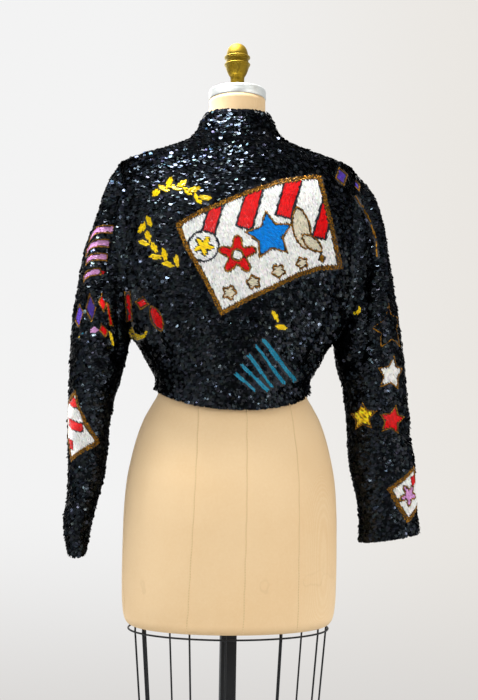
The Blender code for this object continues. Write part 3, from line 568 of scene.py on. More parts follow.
# Motifs: kind, fill, rim, rows of beads in the rim, the way the beads run in degrees,
# middle, length, width, and turn in degrees clockwise from the right.
PANEL_SHAPES = (
    ("panel", WHITE, BRONZE, 3, 73, 0, 0, 0, 0, 0),
    ("bar", RED, INK, 1, 106, 214.0, 213.0, 42, 14, 106),
    ("bar", RED, INK, 1, 106, 250.5, 205.0, 48, 17, 106),
    ("bar", RED, INK, 1, 106, 290.0, 193.0, 50, 17, 106),
    ("bar", RED, INK, 1, 100, 325.0, 216.0, 46, 14, 106),
    ("dot", WHITE, INK, 1, 40, 203.5, 246.0, 31, 31, 0),
    ("flower", YELLOW, YELLOW, 0, 20, 203.5, 246.0, 21, 21, 10),
    ("flower", RED, BRONZE, 1, 60, 237.5, 255.0, 40, 40, -18),
    ("dot", WHITE, BRONZE, 1, 60, 237.5, 255.0, 12, 12, 0),
    ("star", BLUE, BRONZE, 1, 40, 270.0, 235.5, 50, 50, -100),
    ("leaf", CREAM, BRONZE, 1, 75, 301.5, 228.0, 44, 18, 78),
    ("leaf", CREAM, BRONZE, 1, 40, 312.0, 243.0, 26, 12, 40),
    ("rosette", CREAM, BRONZE, 1, 0, 229.5, 292.5, 15, 15, 0),
    ("rosette", CREAM, BRONZE, 1, 0, 253.5, 282.0, 15, 15, 40),
    ("rosette", CREAM, BRONZE, 1, 0, 278.5, 271.0, 15, 15, 15),
    ("rosette", CREAM, BRONZE, 1, 0, 302.0, 263.0, 13, 13, 30),
    ("diamond", BRONZE, BRONZE, 0, 80, 322.0, 258.0, 10, 7, 80),
)
# The leaves of a garland: middle and turn.
GARLAND = (
    (156.5, 192.0, -50),
    (163.5, 188.0, 25),
    (169.0, 182.5, -65),
    (176.5, 187.5, 5),
    (182.0, 183.5, -30),
    (188.5, 191.5, 40),
    (194.0, 189.0, -15),
    (197.5, 198.5, 55),
    (205.0, 197.5, 5),
    (148.5, 221.0, 70),
    (142.0, 228.0, 120),
    (148.0, 236.0, 75),
    (143.5, 243.0, 20),
    (154.0, 247.0, 60),
    (156.0, 257.0, 5),
    (164.5, 254.5, 75),
    (168.0, 264.5, 20),
    (176.5, 260.5, 80),
)
SEEN_SHAPES = (
    *(("leaf", YELLOW, YELLOW, 0, turn, x, y, 14, 6.6, turn) for x, y, turn in GARLAND),
    ("leaf", YELLOW, YELLOW, 0, 60, 275.0, 315.5, 15, 6, 62),
    ("leaf", YELLOW, YELLOW, 0, 0, 281.5, 327.0, 14, 6, 8),
    ("bar", TEAL, TEAL, 0, 52, 279.0, 360.0, 55, 5.2, 52),
    ("bar", TEAL, TEAL, 0, 53.5, 270.3, 365.0, 49, 4.3, 53.5),
    ("bar", TEAL, TEAL, 0, 53.5, 260.5, 371.0, 42, 4.3, 53.5),
    ("bar", TEAL, TEAL, 0, 45, 254.5, 377.5, 38, 4.1, 45),
    ("bar", TEAL, TEAL, 0, 40, 245.3, 382.0, 28, 3.9, 40),
    ("diamond", PURPLE, BRONZE, 1, 80, 341.5, 176.5, 19, 13, 75),
    ("bar", RED, BRONZE, 1, 85, 128.5, 306.5, 30, 6, 86),
    ("diamond", RED, BRONZE, 1, 10, 142.0, 303.0, 14, 14, 10),
    ("leaf", RED, BRONZE, 1, 70, 156.5, 318.5, 28, 12, 68),
    ("crescent", YELLOW, YELLOW, 0, 20, 138.0, 332.0, 18, 18, -72),
    ("crescent", YELLOW, YELLOW, 0, 90, 356.0, 310.0, 10, 10, 230),
)
# A line of bronze beads over the right shoulder: the places that it passes through.
BRONZE_LINE = ((355.5, 196.0), (364.0, 209.0), (371.0, 223.0), (376.0, 240.0), (377.5, 258.0))
STRIPES = tuple(
    ("bar", RED, RED, 0, 6, x, y, long, 9.0, 6)
    for x, y, long in ((-10.0, -24.5, 26), (-9.0, -2.0, 32), (-22.0, 17.0, 24))
)
# Groups wrapped round a sleeve: its name, the middle in the picture, and shapes about it.
WRAPPED_SHAPES = (
    (
        "sleeve_left",
        (104.0, 250.0),
        (
            ("bar", LILAC, BRONZE, 1, 2, -3.0, -20.5, 32, 7.8, 2),
            ("bar", LILAC, BRONZE, 1, 2, -7.0, -7.0, 29, 7.8, 2),
            ("bar", LILAC, BRONZE, 1, 2, -7.0, 6.5, 24, 7.2, 2),
            ("bar", LILAC, BRONZE, 1, 2, -14.0, 21.0, 20, 7.2, 2),
            ("dot", RED, RED, 0, 2, -1.0, 22.5, 5, 5, 0),
        ),
    ),
    (
        "sleeve_left",
        (92.0, 310.0),
        (
            ("diamond", PURPLE, BRONZE, 1, 70, -16.0, 2.0, 24, 14, 80),
            ("diamond", PURPLE, BRONZE, 1, 70, -1.0, -2.0, 28, 13, 84),
            ("diamond", RED, BRONZE, 1, 70, 14.0, -10.0, 19, 12, 80),
            ("bar", RED, BRONZE, 1, 85, 23.5, -1.0, 24, 5.5, 86),
            ("dot", LILAC, LILAC, 0, 0, 3.5, 20.0, 7.5, 7.5, 0),
            ("diamond", RED, BRONZE, 1, 70, 13.0, 19.0, 17, 10, 80),
            ("bar", YELLOW, YELLOW, 0, 84, 21.5, 27.5, 19, 4, 84),
            ("dot", YELLOW, YELLOW, 0, 0, -14.0, 22.0, 3.4, 3.4, 0),
            ("dot", TEAL, TEAL, 0, 0, -8.5, 21.5, 3.0, 3.0, 0),
        ),
    ),
    (
        "sleeve_left",
        (77.0, 428.0),
        (
            ("bar", WHITE, BRONZE, 3, 62, -10.0, -1.0, 58, 44, 62),
            *STRIPES,
        ),
    ),
    (
        "sleeve_right",
        (390.0, 327.0),
        (("star", None, BRONZE, 1, 0, 0.0, 0.0, 48, 48, -104),),
    ),
    (
        "sleeve_right",
        (391.0, 395.0),
        (
            ("star", WHITE, BRONZE, 1, 80, 1.0, -21.0, 35, 35, -80),
            ("star", GOLD, BRONZE, 1, 60, -28.0, 22.0, 32, 32, -96),
            ("star", RED, BRONZE, 1, 60, 3.5, 26.0, 31, 31, -82),
        ),
    ),
    (
        "sleeve_right",
        (404.0, 495.0),
        (
            ("bar", WHITE, BRONZE, 3, 60, 10.5, 0.5, 44, 41, 60),
            ("flower", LILAC, BRONZE, 1, 60, 7.0, 1.0, 25, 25, 20),
            ("diamond", RED, RED, 0, 60, 16.0, -13.0, 15, 12, 30),
        ),
    ),
    (
        "sleeve_right",
        (360.0, 205.0),
        (("diamond", PURPLE, BRONZE, 1, 80, -2.0, -22.0, 15, 10, 75),),
    ),
)

# The floor: its radius, its corners, and how far below the foot it lies.
FLOOR_RADIUS = 2.2
FLOOR_SIDES = 96
FLOOR_BELOW = 0.0004
# Lamps: name, place, the place it shines at, width, watts and tint.
SKY = (0.93, 0.97, 1.0)
LAMPS = (
    ("overhead", (0.62, -0.26, 3.2), (0.05, 0.05, 1.4), 0.80, 185, SKY),
    ("overhead_back", (0.18, 0.14, 3.2), (0.05, 0.05, 1.4), 0.50, 75, SKY),
    ("left_window", (2.0, 2.4, 1.5), (0, 0, 1.0), 3.0, 20, (1.0, 0.98, 0.95)),
    ("right_window", (-2.6, 2.0, 1.3), (0, 0, 1.0), 3.0, 38, (1.0, 0.97, 0.93)),
    ("small_left", (2.3, 1.6, 2.3), (0.1, 0, 1.1), 0.4, 12, (0.86, 0.93, 1.0)),
    ("small_right", (-1.7, 2.6, 2.0), (-0.2, 0, 1.0), 0.4, 13, (0.86, 0.93, 1.0)),
    ("front_fill", (0.8, -2.6, 1.9), (0, 0, 1.1), 2.6, 22, (1.0, 0.98, 0.95)),
)


def seen_as(colour):
    """Linear light from a screen colour: a power of 2.4 above a short straight start."""
    c = np.asarray(colour, float)
    return np.where(c <= 0.04045, c / 12.92, ((c + 0.055) / 1.055) ** 2.4)


# Shapes shared with the solid part


def column(table, columns, name):
    """One named column of a table."""
    return np.array([row[columns.index(name)] for row in table])


def through(knots, values, at):
    """A smooth curve through the knots that never swings past them.

    Cubic pieces, whose slope at a knot is the harmonic mean of the two chords there.
    """
    at = np.asarray(at, float)
    step = np.diff(knots)
    chord = np.diff(values) / step
    slope = np.empty(len(knots))
    slope[0], slope[-1] = chord[0], chord[-1]
    product = chord[1:] * chord[:-1]
    total = chord[1:] + chord[:-1]
    slope[1:-1] = np.where(product > 0, 2 * product / np.where(product > 0, total, 1), 0)
    i = np.clip(np.searchsorted(knots, at, side="right") - 1, 0, len(step) - 1)
    u = (at - knots[i]) / step[i]
    rise = (1 + 2 * u) * (1 - u) ** 2 * values[i] + u * u * (3 - 2 * u) * values[i + 1]
    lean = u * (1 - u) ** 2 * slope[i] + u * u * (u - 1) * slope[i + 1]
    return rise + lean * step[i]


def ease(low, high, at):
    """Nought below low, one above high, with a soft start and end."""
    u = np.clip((at - low) / (high - low), 0, 1)
    return u * u * (3 - 2 * u)


def powered(value, power):
    """The sine or cosine of an oval of this power."""
    return np.sign(value) * np.abs(value) ** (2 / power)


def unit(vectors):
    """Vectors made one long."""
    return vectors / np.linalg.norm(vectors, axis=-1, keepdims=True)


BODY_RINGS = BODY + tuple((z, x, *depths) for (x, z), depths in zip(SHOULDER[1:], SHOULDER_DEPTHS))


def ring_at(z, name):
    """A named measure of the body's rings at these heights, on a smooth curve."""
    rings = BODY_RINGS, BODY_COLUMNS
    return through(column(*rings, "z"), column(*rings, name), z)


def plain_body(z, turn):
    """The body without folds: an oval ring at each height, its hem and neckline let down."""
    cosine, sine = np.cos(turn), np.sin(turn)
    power = ring_at(z, "power")
    depth = np.where(sine > 0, ring_at(z, "back"), ring_at(z, "front"))
    x = ring_at(z, "half_width") * powered(cosine, power)
    y = depth * powered(sine, power)
    dip = np.where(sine > 0, HEM_DIP_BACK, HEM_DIP_FRONT) * np.abs(sine) ** HEM_DIP_POWER
    low = 1 - ease(HEM_Z, HEM_DIP_ENDS_Z, z)
    fall = NECK_DROP * ((1 - sine) / 2) ** NECK_DROP_POWER
    high = ease(NECK_DROP_STARTS_Z, NECK_Z, z)
    return np.stack([x, y, z - dip * low - fall * high], axis=-1)


def body_normal(z, turn):
    """The body's outward normal, from the surface a little to each side."""
    round_it = plain_body(z, turn + STEP_TURN) - plain_body(z, turn - STEP_TURN)
    high = np.minimum(z + STEP_Z, NECK_Z)
    low = np.maximum(z - STEP_Z, HEM_Z)
    up = plain_body(high, turn) - plain_body(low, turn)
    return unit(np.cross(round_it, up))


def fold_height(z, turn, folds):
    """How far folds stand out: each is a soft bank or ditch round a straight line."""
    x = np.mod(turn, 2 * math.pi) * FOLD_SCALE
    total = np.zeros(np.broadcast(x, z).shape)
    for from_turn, from_z, to_turn, to_z, half_width, depth in folds:
        start = np.array([math.radians(from_turn) * FOLD_SCALE, from_z])
        run = np.array([math.radians(to_turn) * FOLD_SCALE, to_z]) - start
        along = ((x - start[0]) * run[0] + (z - start[1]) * run[1]) / (run @ run)
        at = np.clip(along, 0, 1)
        away = np.hypot(x - start[0] - at * run[0], z - start[1] - at * run[1])
        share = FOLD_START_SHARE + (1 - FOLD_START_SHARE) * at
        total = total + depth * np.exp(-((away / half_width) ** 2)) * share
    return total


def body_points(z, turn):
    """Points of the body's outer face and the normals there.

    The sleeves' edges come from here too, so both sides of a seam have the same folds.
    """
    normal = body_normal(z, turn)
    height = fold_height(z, turn, FOLDS + SMALL_FOLDS)
    return plain_body(z, turn) + normal * height[..., None], normal


def armhole_rows():
    """The armhole's points from the underarm up: heights, and shares of the armhole's depth."""
    turn = np.linspace(0, math.pi, ARMHOLE_STEPS + 1)
    middle = (UNDERARM_Z + SHOULDER_TIP_Z) / 2
    half = (SHOULDER_TIP_Z - UNDERARM_Z) / 2
    out = np.abs(powered(np.sin(turn), ARMHOLE_POWER))
    out[[0, -1]] = 0
    return middle - half * powered(np.cos(turn), ARMHOLE_POWER), out


def edge_turn(z, depth_at_edge, side):
    """The turn at which a ring is this deep; side names the depth that it is a share of."""
    share = np.maximum(depth_at_edge, SEAM_GAP / 2) / ring_at(z, side)
    return np.arcsin(share ** (ring_at(z, "power") / 2))


def even_turns(z, last, count):
    """For each row, turns from the side to last that are even steps along the ring."""
    fine = np.linspace(0, 1, RING_SAMPLES)
    turns = last[:, None] * fine
    points = plain_body(np.repeat(z[:, None], len(fine), axis=1), turns)
    run = np.cumsum(np.linalg.norm(np.diff(points, axis=1), axis=-1), axis=1)
    run = np.concatenate([np.zeros((len(z), 1)), run], axis=1)
    wanted = np.linspace(0, 1, count)
    return np.stack([np.interp(wanted * run[k, -1], run[k], turns[k]) for k in range(len(z))])


def panel_turns(z, edge, last, count):
    """Even turns, of which those nearest the side make room for the panel's edge."""
    room = np.clip(1 - np.linspace(0, 1, count) / EDGE_REACH, 0, 1) ** 2
    return even_turns(z, last, count) + edge[:, None] * room


def panel_rows():
    """Each row's height, and how deep the panel's edge lies there, behind and in front."""
    arm_z, out = armhole_rows()
    hem_z = np.linspace(HEM_Z, UNDERARM_Z, HEM_STEPS, endpoint=False)
    shoulder_z = np.linspace(SHOULDER_TIP_Z, NECK_Z, SHOULDER_STEPS + 1)[1:]
    z = np.concatenate([hem_z, arm_z, shoulder_z])
    share = np.zeros(len(z))
    share[len(hem_z) : len(hem_z) + len(arm_z)] = out
    return z, share * ARMHOLE_BACK, share * ARMHOLE_FRONT


def flattened(normal, axis):
    """The normals with nothing along one axis, so that two edges stay parallel at a seam."""
    flat = normal.copy()
    flat[..., axis] = 0
    return unit(flat)


def grid_normals(points, closed):
    """Normals of a grid of points, the cross of its steps round and its steps along."""
    along = np.gradient(points, axis=0)
    if closed:
        round_it = np.roll(points, -1, axis=1) - np.roll(points, 1, axis=1)
    else:
        round_it = np.gradient(points, axis=1)
    return unit(np.cross(round_it, along))


class Cloth:
    """A panel's outer face as a grid of points, with the wall's direction and true normals."""

    def __init__(self, name, points, into, closed=False, turned=1):
        self.name, self.points, self.closed = name, points, closed
        self.into, self.turned = into, turned
        self.normals = turned * grid_normals(points, closed)
        self.rows, self.columns = points.shape[:2]

    def at(self, place):
        """Points and normals at places counted in rows and columns, by straight blends."""
        row = np.clip(place[:, 0], 0, self.rows - 1.001)
        col = place[:, 1]
        if self.closed:
            col = np.mod(col, self.columns)
        else:
            col = np.clip(col, 0, self.columns - 1.001)
        i, j = row.astype(int), col.astype(int)
        u, v = (row - i)[:, None], (col - j)[:, None]
        after = (j + 1) % self.columns
        values = []
        for grid in (self.points, self.normals):
            low = grid[i, j] * (1 - v) + grid[i, after] * v
            high = grid[i + 1, j] * (1 - v) + grid[i + 1, after] * v
            values.append(low * (1 - u) + high * u)
        return values[0], unit(values[1])


def back_cloth():
    """The back: the body's rings from one armhole or side seam to the other."""
    z, back_edge, _ = panel_rows()
    edge = edge_turn(z, back_edge, "back")
    half = panel_turns(z, edge, np.full(len(z), math.pi / 2), BACK_HALF_COLUMNS)
    turns = np.concatenate([half, math.pi - half[:, -2::-1]], axis=1)
    outer, normal = body_points(np.repeat(z[:, None], turns.shape[1], axis=1), turns)
    seam = back_edge == 0
    for edge_column in (0, -1):
        normal[seam, edge_column] = flattened(normal[seam, edge_column], 1)
    return Cloth("back", outer, normal)


def front_cloths():
    """The fronts: the body's rings from each side to just short of the middle."""
    z, _, front_edge = panel_rows()
    edge = edge_turn(z, front_edge, "front")
    middle = np.arccos((FRONT_GAP / 2 / ring_at(z, "half_width")) ** (ring_at(z, "power") / 2))
    turns = panel_turns(z, -edge, -middle, FRONT_COLUMNS)
    rows = np.repeat(z[:, None], FRONT_COLUMNS, axis=1)
    seam = front_edge == 0
    made = []
    for name, own_turns, turned in (
        ("front_left", turns, -1),
        ("front_right", -math.pi - turns, 1),
    ):
        outer, normal = body_points(rows, own_turns)
        normal[seam, 0] = flattened(normal[seam, 0], 1)
        normal[:, -1] = flattened(normal[:, -1], 0)
        made.append(Cloth(name, outer, normal, turned=turned))
    return made


def armhole_edge(side):
    """The armhole's closed edge, up behind from the underarm and down in front."""
    z, out = armhole_rows()
    behind = edge_turn(z, out * ARMHOLE_BACK, "back")
    before = -edge_turn(z, out * ARMHOLE_FRONT, "front")[-2:0:-1]
    behind[[0, -1]] = 0
    height = np.concatenate([z, z[-2:0:-1]])
    turn = np.concatenate([behind, before])
    if side < 0:
        turn = math.pi - turn
    outer, normal = body_points(height, turn)
    ends = [0, len(z) - 1]
    normal[ends] = flattened(normal[ends], 1)
    return outer + np.array([side * SEAM_GAP, 0, 0]), normal


def sleeve_section(table, at, turn):
    """Points of the plain sections at places counted in sections, round each."""
    places = np.arange(len(table), dtype=float)
    row = {
        name: through(places, column(table, SLEEVE_COLUMNS, name), at)[:, None]
        for name in SLEEVE_COLUMNS
    }
    cosine = powered(np.cos(turn), row["power"])
    sine = powered(np.sin(turn), row["power"])
    depth = np.where(sine > 0, row["back"], row["front"])
    x = (row["in_x"] + row["out_x"]) / 2 - (row["out_x"] - row["in_x"]) / 2 * cosine
    z = (row["in_z"] + row["out_z"]) / 2 - (row["out_z"] - row["in_z"]) / 2 * cosine
    return np.stack([x, row["middle_y"] + depth * sine, z], axis=-1)


def crease_height(creases, at, turn):
    """How far creases stand out at a place down the sleeve and a turn round it."""
    total = np.zeros(np.broadcast(at, turn).shape)
    for section, middle, half_span, climb, half_width, depth in creases:
        round_it = np.mod(turn - math.radians(middle) + math.pi, 2 * math.pi) - math.pi
        away = (at - section - climb * round_it) / half_width
        total = total + depth * np.exp(-away * away - (round_it / math.radians(half_span)) ** 2)
    return total


def long_crease_height(creases, at, turn):
    """How far creases that run down a sleeve stand out, each round a straight line."""
    degrees = np.degrees(turn) * DEGREE_REACH
    down = at * SECTION_REACH
    total = np.zeros(np.broadcast(at, turn).shape)
    for from_at, from_turn, to_at, to_turn, half_width, depth in creases:
        start = np.array([from_turn * DEGREE_REACH, from_at * SECTION_REACH])
        run = np.array([to_turn * DEGREE_REACH, to_at * SECTION_REACH]) - start
        along = ((degrees - start[0]) * run[0] + (down - start[1]) * run[1]) / (run @ run)
        share = np.clip(along, 0, 1)
        away = np.hypot(degrees - start[0] - share * run[0], down - start[1] - share * run[1])
        total = total + depth * np.exp(-((away / half_width) ** 2))
    return total


def sleeve_cloth(name, side, table, creases, long_creases):
    """A tube from the armhole's edge to the cuff, its first sections bent to that edge."""
    edge, edge_normal = armhole_edge(side)
    at = np.linspace(0, len(table) - 1, SLEEVE_RING_STEPS + 1)
    turn = np.linspace(0, 2 * math.pi, 2 * ARMHOLE_STEPS, endpoint=False)
    outer = sleeve_section(table, at, turn)
    outer[..., 0] *= side
    bend = (1 - ease(0, SLEEVE_LEAVES_ARMHOLE, at))[:, None, None]
    outer = outer + (edge - outer[0]) * bend
    normal = side * grid_normals(outer, True)
    height = crease_height(creases, at[:, None], turn)
    outer = outer + normal * height[..., None] * (1 - bend)
    height = long_crease_height(long_creases, at[:, None], turn)
    outer = outer + normal * height[..., None] * ease(0, LONG_CREASES_BEGIN, at)[:, None, None]
    outer[0] = edge
    normal[0] = edge_normal
    return Cloth(name, outer, normal, closed=True, turned=side)


def collar_cloth():
    """The stand collar: it starts on the neckline's edge and turns up round the neck."""
    middle = math.acos(FRONT_GAP / 2 / COLLAR[0][1])
    turn = np.linspace(-middle, math.pi + middle, COLLAR_COLUMNS)
    neck = np.full(len(turn), NECK_Z)
    edge, _ = body_points(neck, turn)
    up = unit(edge - plain_body(neck - NECK_EDGE_STEP, turn))
    rows = [edge + up * SEAM_GAP]
    fall = NECK_DROP * ((1 - np.sin(turn)) / 2) ** NECK_DROP_POWER
    for rise, half_width, back, front in COLLAR:
        depth = np.where(np.sin(turn) > 0, back, front)
        x, y = half_width * np.cos(turn), depth * np.sin(turn)
        rows.append(np.stack([x, y, NECK_Z + rise - fall], axis=-1))
    coarse = np.stack(rows)
    share = np.linspace(0, len(rows) - 1, COLLAR_ROWS)
    i = np.clip(share.astype(int), 0, len(rows) - 2)
    u = (share - i)[:, None, None]
    outer = coarse[i] * (1 - u) + coarse[i + 1] * u
    outer[:, [0, -1], 0] = np.array([1, -1]) * FRONT_GAP / 2
    facing = unit(np.cross(np.gradient(outer, axis=1), np.gradient(outer, axis=0)))
    for edge_column in (0, -1):
        facing[:, edge_column] = flattened(facing[:, edge_column], 0)
    return Cloth("collar", outer, facing)


# The camera

OUT_TO_CAMERA = np.array([math.sin(CAMERA_AZIMUTH), -math.cos(CAMERA_AZIMUTH), 0.0])
LEVEL_RIGHT = np.cross(-OUT_TO_CAMERA, [0, 0, 1])
EYE_RIGHT = LEVEL_RIGHT * math.cos(CAMERA_LEAN) + np.array([0, 0, 1]) * math.sin(CAMERA_LEAN)
EYE_UP = np.array([0, 0, 1]) * math.cos(CAMERA_LEAN) - LEVEL_RIGHT * math.sin(CAMERA_LEAN)
EYE = OUT_TO_CAMERA * CAMERA_FAR + LEVEL_RIGHT * AIM_RIGHT + np.array([0, 0, CAMERA_Z])
FOCAL_PIXELS = PICTURE_HEIGHT * CAMERA_LENS_MM / SENSOR_MM


def picture(points):
    """Where points fall in the picture: their offsets from the eye, divided by their depth."""
    away = points - EYE
    depth = -away @ OUT_TO_CAMERA
    x = PICTURE_WIDTH / 2 + FOCAL_PIXELS * (away @ EYE_RIGHT) / depth
    y = PICTURE_HEIGHT / 2 - FOCAL_PIXELS * (away @ EYE_UP) / depth
    return np.stack([x, y], axis=-1)


def add_camera():
    """The camera at the eye, its three directions as its turn."""
    data = bpy.data.cameras.new("camera")
    data.sensor_fit = "VERTICAL"
    data.sensor_height = SENSOR_MM
    data.lens = CAMERA_LENS_MM
    camera = bpy.data.objects.new("camera", data)
    bpy.context.scene.collection.objects.link(camera)
    turn = np.stack([EYE_RIGHT, EYE_UP, OUT_TO_CAMERA], axis=1)
    camera.matrix_world = Matrix.Translation(EYE) @ Matrix(turn.tolist()).to_4x4()
    bpy.context.scene.camera = camera


# Finishes


class Value:
    """A number that changes over a surface: a node's output, with arithmetic."""

    def __init__(self, look, socket):
        self.look, self.socket = look, socket

    def math(self, operation, *others):
        """What this operation makes of the values."""
        return self.look.node("ShaderNodeMath", {"operation": operation}, dict(enumerate(others)))

    def __add__(self, other):
        return self.math("ADD", self, other)

    def __sub__(self, other):
        return self.math("SUBTRACT", self, other)

    def __rsub__(self, other):
        return self.math("SUBTRACT", other, self)

    def __mul__(self, other):
        return self.math("MULTIPLY", self, other)

    def __pow__(self, other):
        return self.math("POWER", self, other)

    def size(self):
        """The value without its sign."""
        return self.math("ABSOLUTE", self)

    def sine(self):
        """The sine of the value as an angle."""
        return self.math("SINE", self)

    def ramp(self, low, high):
        """Nought at low and one at high, with soft ends."""
        settings = {"interpolation_type": "SMOOTHSTEP"}
        return self.look.node("ShaderNodeMapRange", settings, {0: self, 1: low, 2: high})

    __radd__ = __add__
    __rmul__ = __mul__


class Tree:
    """A tree of shader nodes."""

    def __init__(self, tree):
        self.tree = tree

    def node(self, kind, settings=None, sockets=None, out=0):
        """A node of this type: its settings first, then values or links of its sockets."""
        made = self.tree.nodes.new(kind)
        for name, value in (settings or {}).items():
            setattr(made, name, value)
        for name, value in (sockets or {}).items():
            if isinstance(value, Value):
                self.tree.links.new(value.socket, made.inputs[name])
            else:
                made.inputs[name].default_value = value
        return Value(self, made.outputs[out])

    def axes(self, vector):
        """A vector's three numbers."""
        parts = self.node("ShaderNodeSeparateXYZ", None, {0: vector}).socket.node
        return [Value(self, socket) for socket in parts.outputs]

    def noise(self, vector, scale, detail, roughness=0.5):
        """Cloudy numbers about a half."""
        sockets = {"Vector": vector, "Scale": scale, "Detail": detail, "Roughness": roughness}
        return self.node("ShaderNodeTexNoise", None, sockets)

    def mixed(self, share, first, second):
        """One colour turning to another with a share that changes over the surface."""
        settings = {"data_type": "RGBA"}
        return self.node("ShaderNodeMix", settings, {0: share, 6: first, 7: second}, out=2)


class Look(Tree):
    """A finish: one material and the nodes that feed its shader."""

    def __init__(self, name, **constants):
        self.material = bpy.data.materials.new(name)
        self.material.use_nodes = True
        super().__init__(self.material.node_tree)
        self.shader = self.tree.nodes["Principled BSDF"]
        for socket, value in constants.items():
            self.shader.inputs[socket.replace("_", " ")].default_value = value

    def feed(self, socket, value):
        """A value into the shader."""
        self.tree.links.new(value.socket, self.shader.inputs[socket])

    def place(self):
        """Where a point lies on the object."""
        return self.node("ShaderNodeTexCoord", out="Object")

    def bump(self, height, distance, strength):
        """Fine relief from heights."""
        sockets = {"Height": height, "Distance": distance, "Strength": strength}
        self.feed("Normal", self.node("ShaderNodeBump", None, sockets))


def colour(screen):
    """A screen colour for a socket."""
    return (*seen_as(screen).tolist(), 1.0)


def sequin_look(name):
    """Black foil cups: each has its own shade and gloss in the tint attribute."""
    look = Look(name, Specular_IOR_Level=0.25, Specular_Tint=(0.10, 0.10, 0.11, 1.0))
    shade = look.node("ShaderNodeAttribute", {"attribute_name": "tint"}, out="Color")
    gloss = look.node("ShaderNodeAttribute", {"attribute_name": "tint"}, out="Alpha")
    place = look.place()
    dust = look.noise(place, 260.0, 3.0).ramp(0.45, 0.75)
    look.feed("Base Color", look.mixed(dust * 0.05, shade, colour((0.30, 0.31, 0.33))))
    look.feed("Roughness", 0.07 + gloss * 0.20 + dust * 0.10)
    look.feed("Metallic", 0.88 + gloss * 0.12)
    look.bump(look.noise(place, 900.0, 2.0), 0.00005, 0.4)
    return look.material


def bead_look(name):
    """Glass beads in their own colours, with a worn bloom here and there."""
    look = Look(name, Specular_IOR_Level=0.18, Coat_Roughness=0.08)
    shade = look.node("ShaderNodeAttribute", {"attribute_name": "tint"}, out="Color")
    metal = look.node("ShaderNodeAttribute", {"attribute_name": "tint"}, out="Alpha")
    place = look.place()
    bloom = look.noise(place, 90.0, 4.0, 0.6)
    dusty = colour((0.62, 0.58, 0.50))
    look.feed("Base Color", look.mixed(bloom.ramp(0.55, 0.85) * 0.03, shade, dusty))
    look.feed("Roughness", 0.20 + bloom * 0.2)
    look.feed("Metallic", metal * 0.5)
    look.feed("Coat Weight", 0.02 + bloom * 0.08)
    look.bump(look.noise(place, 700.0, 2.0), 0.00008, 0.35)
    return look.material


def ground_look(name):
    """The black knitted ground under the sequins: ribs both ways, matt."""
    look = Look(name, Sheen_Weight=0.25, Sheen_Roughness=0.6)
    place = look.place()
    x, y, z = look.axes(place)
    rib = (z * 5200.0).sine() * ((x + y) * 4400.0).sine()
    lint = look.noise(place, 420.0, 4.0, 0.6)
    black, grey = colour((0.07, 0.07, 0.085)), colour((0.17, 0.17, 0.19))
    look.feed("Base Color", look.mixed(lint.ramp(0.45, 0.8) * 0.5, black, grey))
    look.feed("Roughness", 0.75 + lint * 0.2)
    look.bump(rib * 0.5 + lint * 0.5, 0.0003, 0.7)
    return look.material


def linen_look(name):
    """Old pasted linen: warm threads both ways, slow mottling, and a few water marks."""
    look = Look(name, Specular_IOR_Level=0.25, Sheen_Weight=0.06, Sheen_Roughness=0.5)
    place = look.place()
    x, y, z = look.axes(place)
    warp = ((x - y) * 5600.0).sine() * 0.5 + 0.5
    weft = (z * 5600.0).sine() * 0.5 + 0.5
    slub = look.noise(place, 240.0, 3.0, 0.6)
    slow = look.noise(place, 5.5, 4.0, 0.55)
    weave = (warp + weft) * 0.5
    pale, deep = colour((0.920, 0.785, 0.605)), colour((0.900, 0.752, 0.560))
    warm = look.mixed(slow.ramp(0.35, 0.72), pale, deep)
    raised = (weave * 0.5 + slub * 0.5).ramp(0.35, 0.85)
    threads = look.mixed(raised * 0.30, warm, colour((0.975, 0.885, 0.730)))
    tide = look.noise(place, 9.0, 3.0, 0.45)
    ring = 1 - (tide - 0.60).size().ramp(0.0, 0.012)
    low = 1 - z.ramp(0.70, 0.80)
    marked = look.mixed(ring * low * 0.16, threads, colour((0.62, 0.47, 0.26)))
    # Darker towards the form's lower rim, where its bottom turns under.
    rim = 1 - z.ramp(0.674, 0.690)
    rusted_and_darker_rim = look.mixed(rim * 0.30, marked, colour((0.55, 0.42, 0.24)))
    look.feed("Base Color", rusted_and_darker_rim)
    look.feed("Roughness", 0.78 + slub * 0.16)
    look.bump(weave * 0.6 + slub * 0.6, 0.00025, 0.55)
    return look.material


def seam_look(name):
    """The linen's sewn seams: the same cloth, a little darker, with short stitches."""
    look = Look(name, Specular_IOR_Level=0.2)
    place = look.place()
    height = look.axes(place)[2]
    stitch = (height * 1500.0).sine().ramp(0.1, 0.5)
    fray = look.noise(place, 300.0, 3.0)
    thread = look.mixed(stitch * 0.5, colour((0.89, 0.765, 0.585)), colour((0.80, 0.655, 0.465)))
    frayed = colour((0.88, 0.76, 0.57))
    look.feed("Base Color", look.mixed(fray.ramp(0.4, 0.8) * 0.3, thread, frayed))
    look.feed("Roughness", 0.8 + fray * 0.15)
    look.bump(stitch * 0.6 + fray * 0.4, 0.0003, 0.6)
    return look.material


def cap_look(name):
    """Spun metal, satin, with fine rings from the lathe and a few dull patches."""
    look = Look(name, Metallic=1.0)
    place = look.place()
    x, y, z = look.axes(place)
    away = (x * x + y * y) ** 0.5
    spun = (away * 5200.0 + z * 1500.0).sine() * 0.5 + 0.5
    dull = look.noise(place, 34.0, 4.0, 0.6)
    bright, grey = colour((0.87, 0.87, 0.85)), colour((0.74, 0.73, 0.70))
    look.feed("Base Color", look.mixed(dull.ramp(0.45, 0.75), bright, grey))
    look.feed("Roughness", 0.36 + dull * 0.22 + spun * 0.05)
    look.bump(spun * 0.4 + look.noise(place, 600.0, 2.0) * 0.6, 0.00006, 0.5)
    return look.material


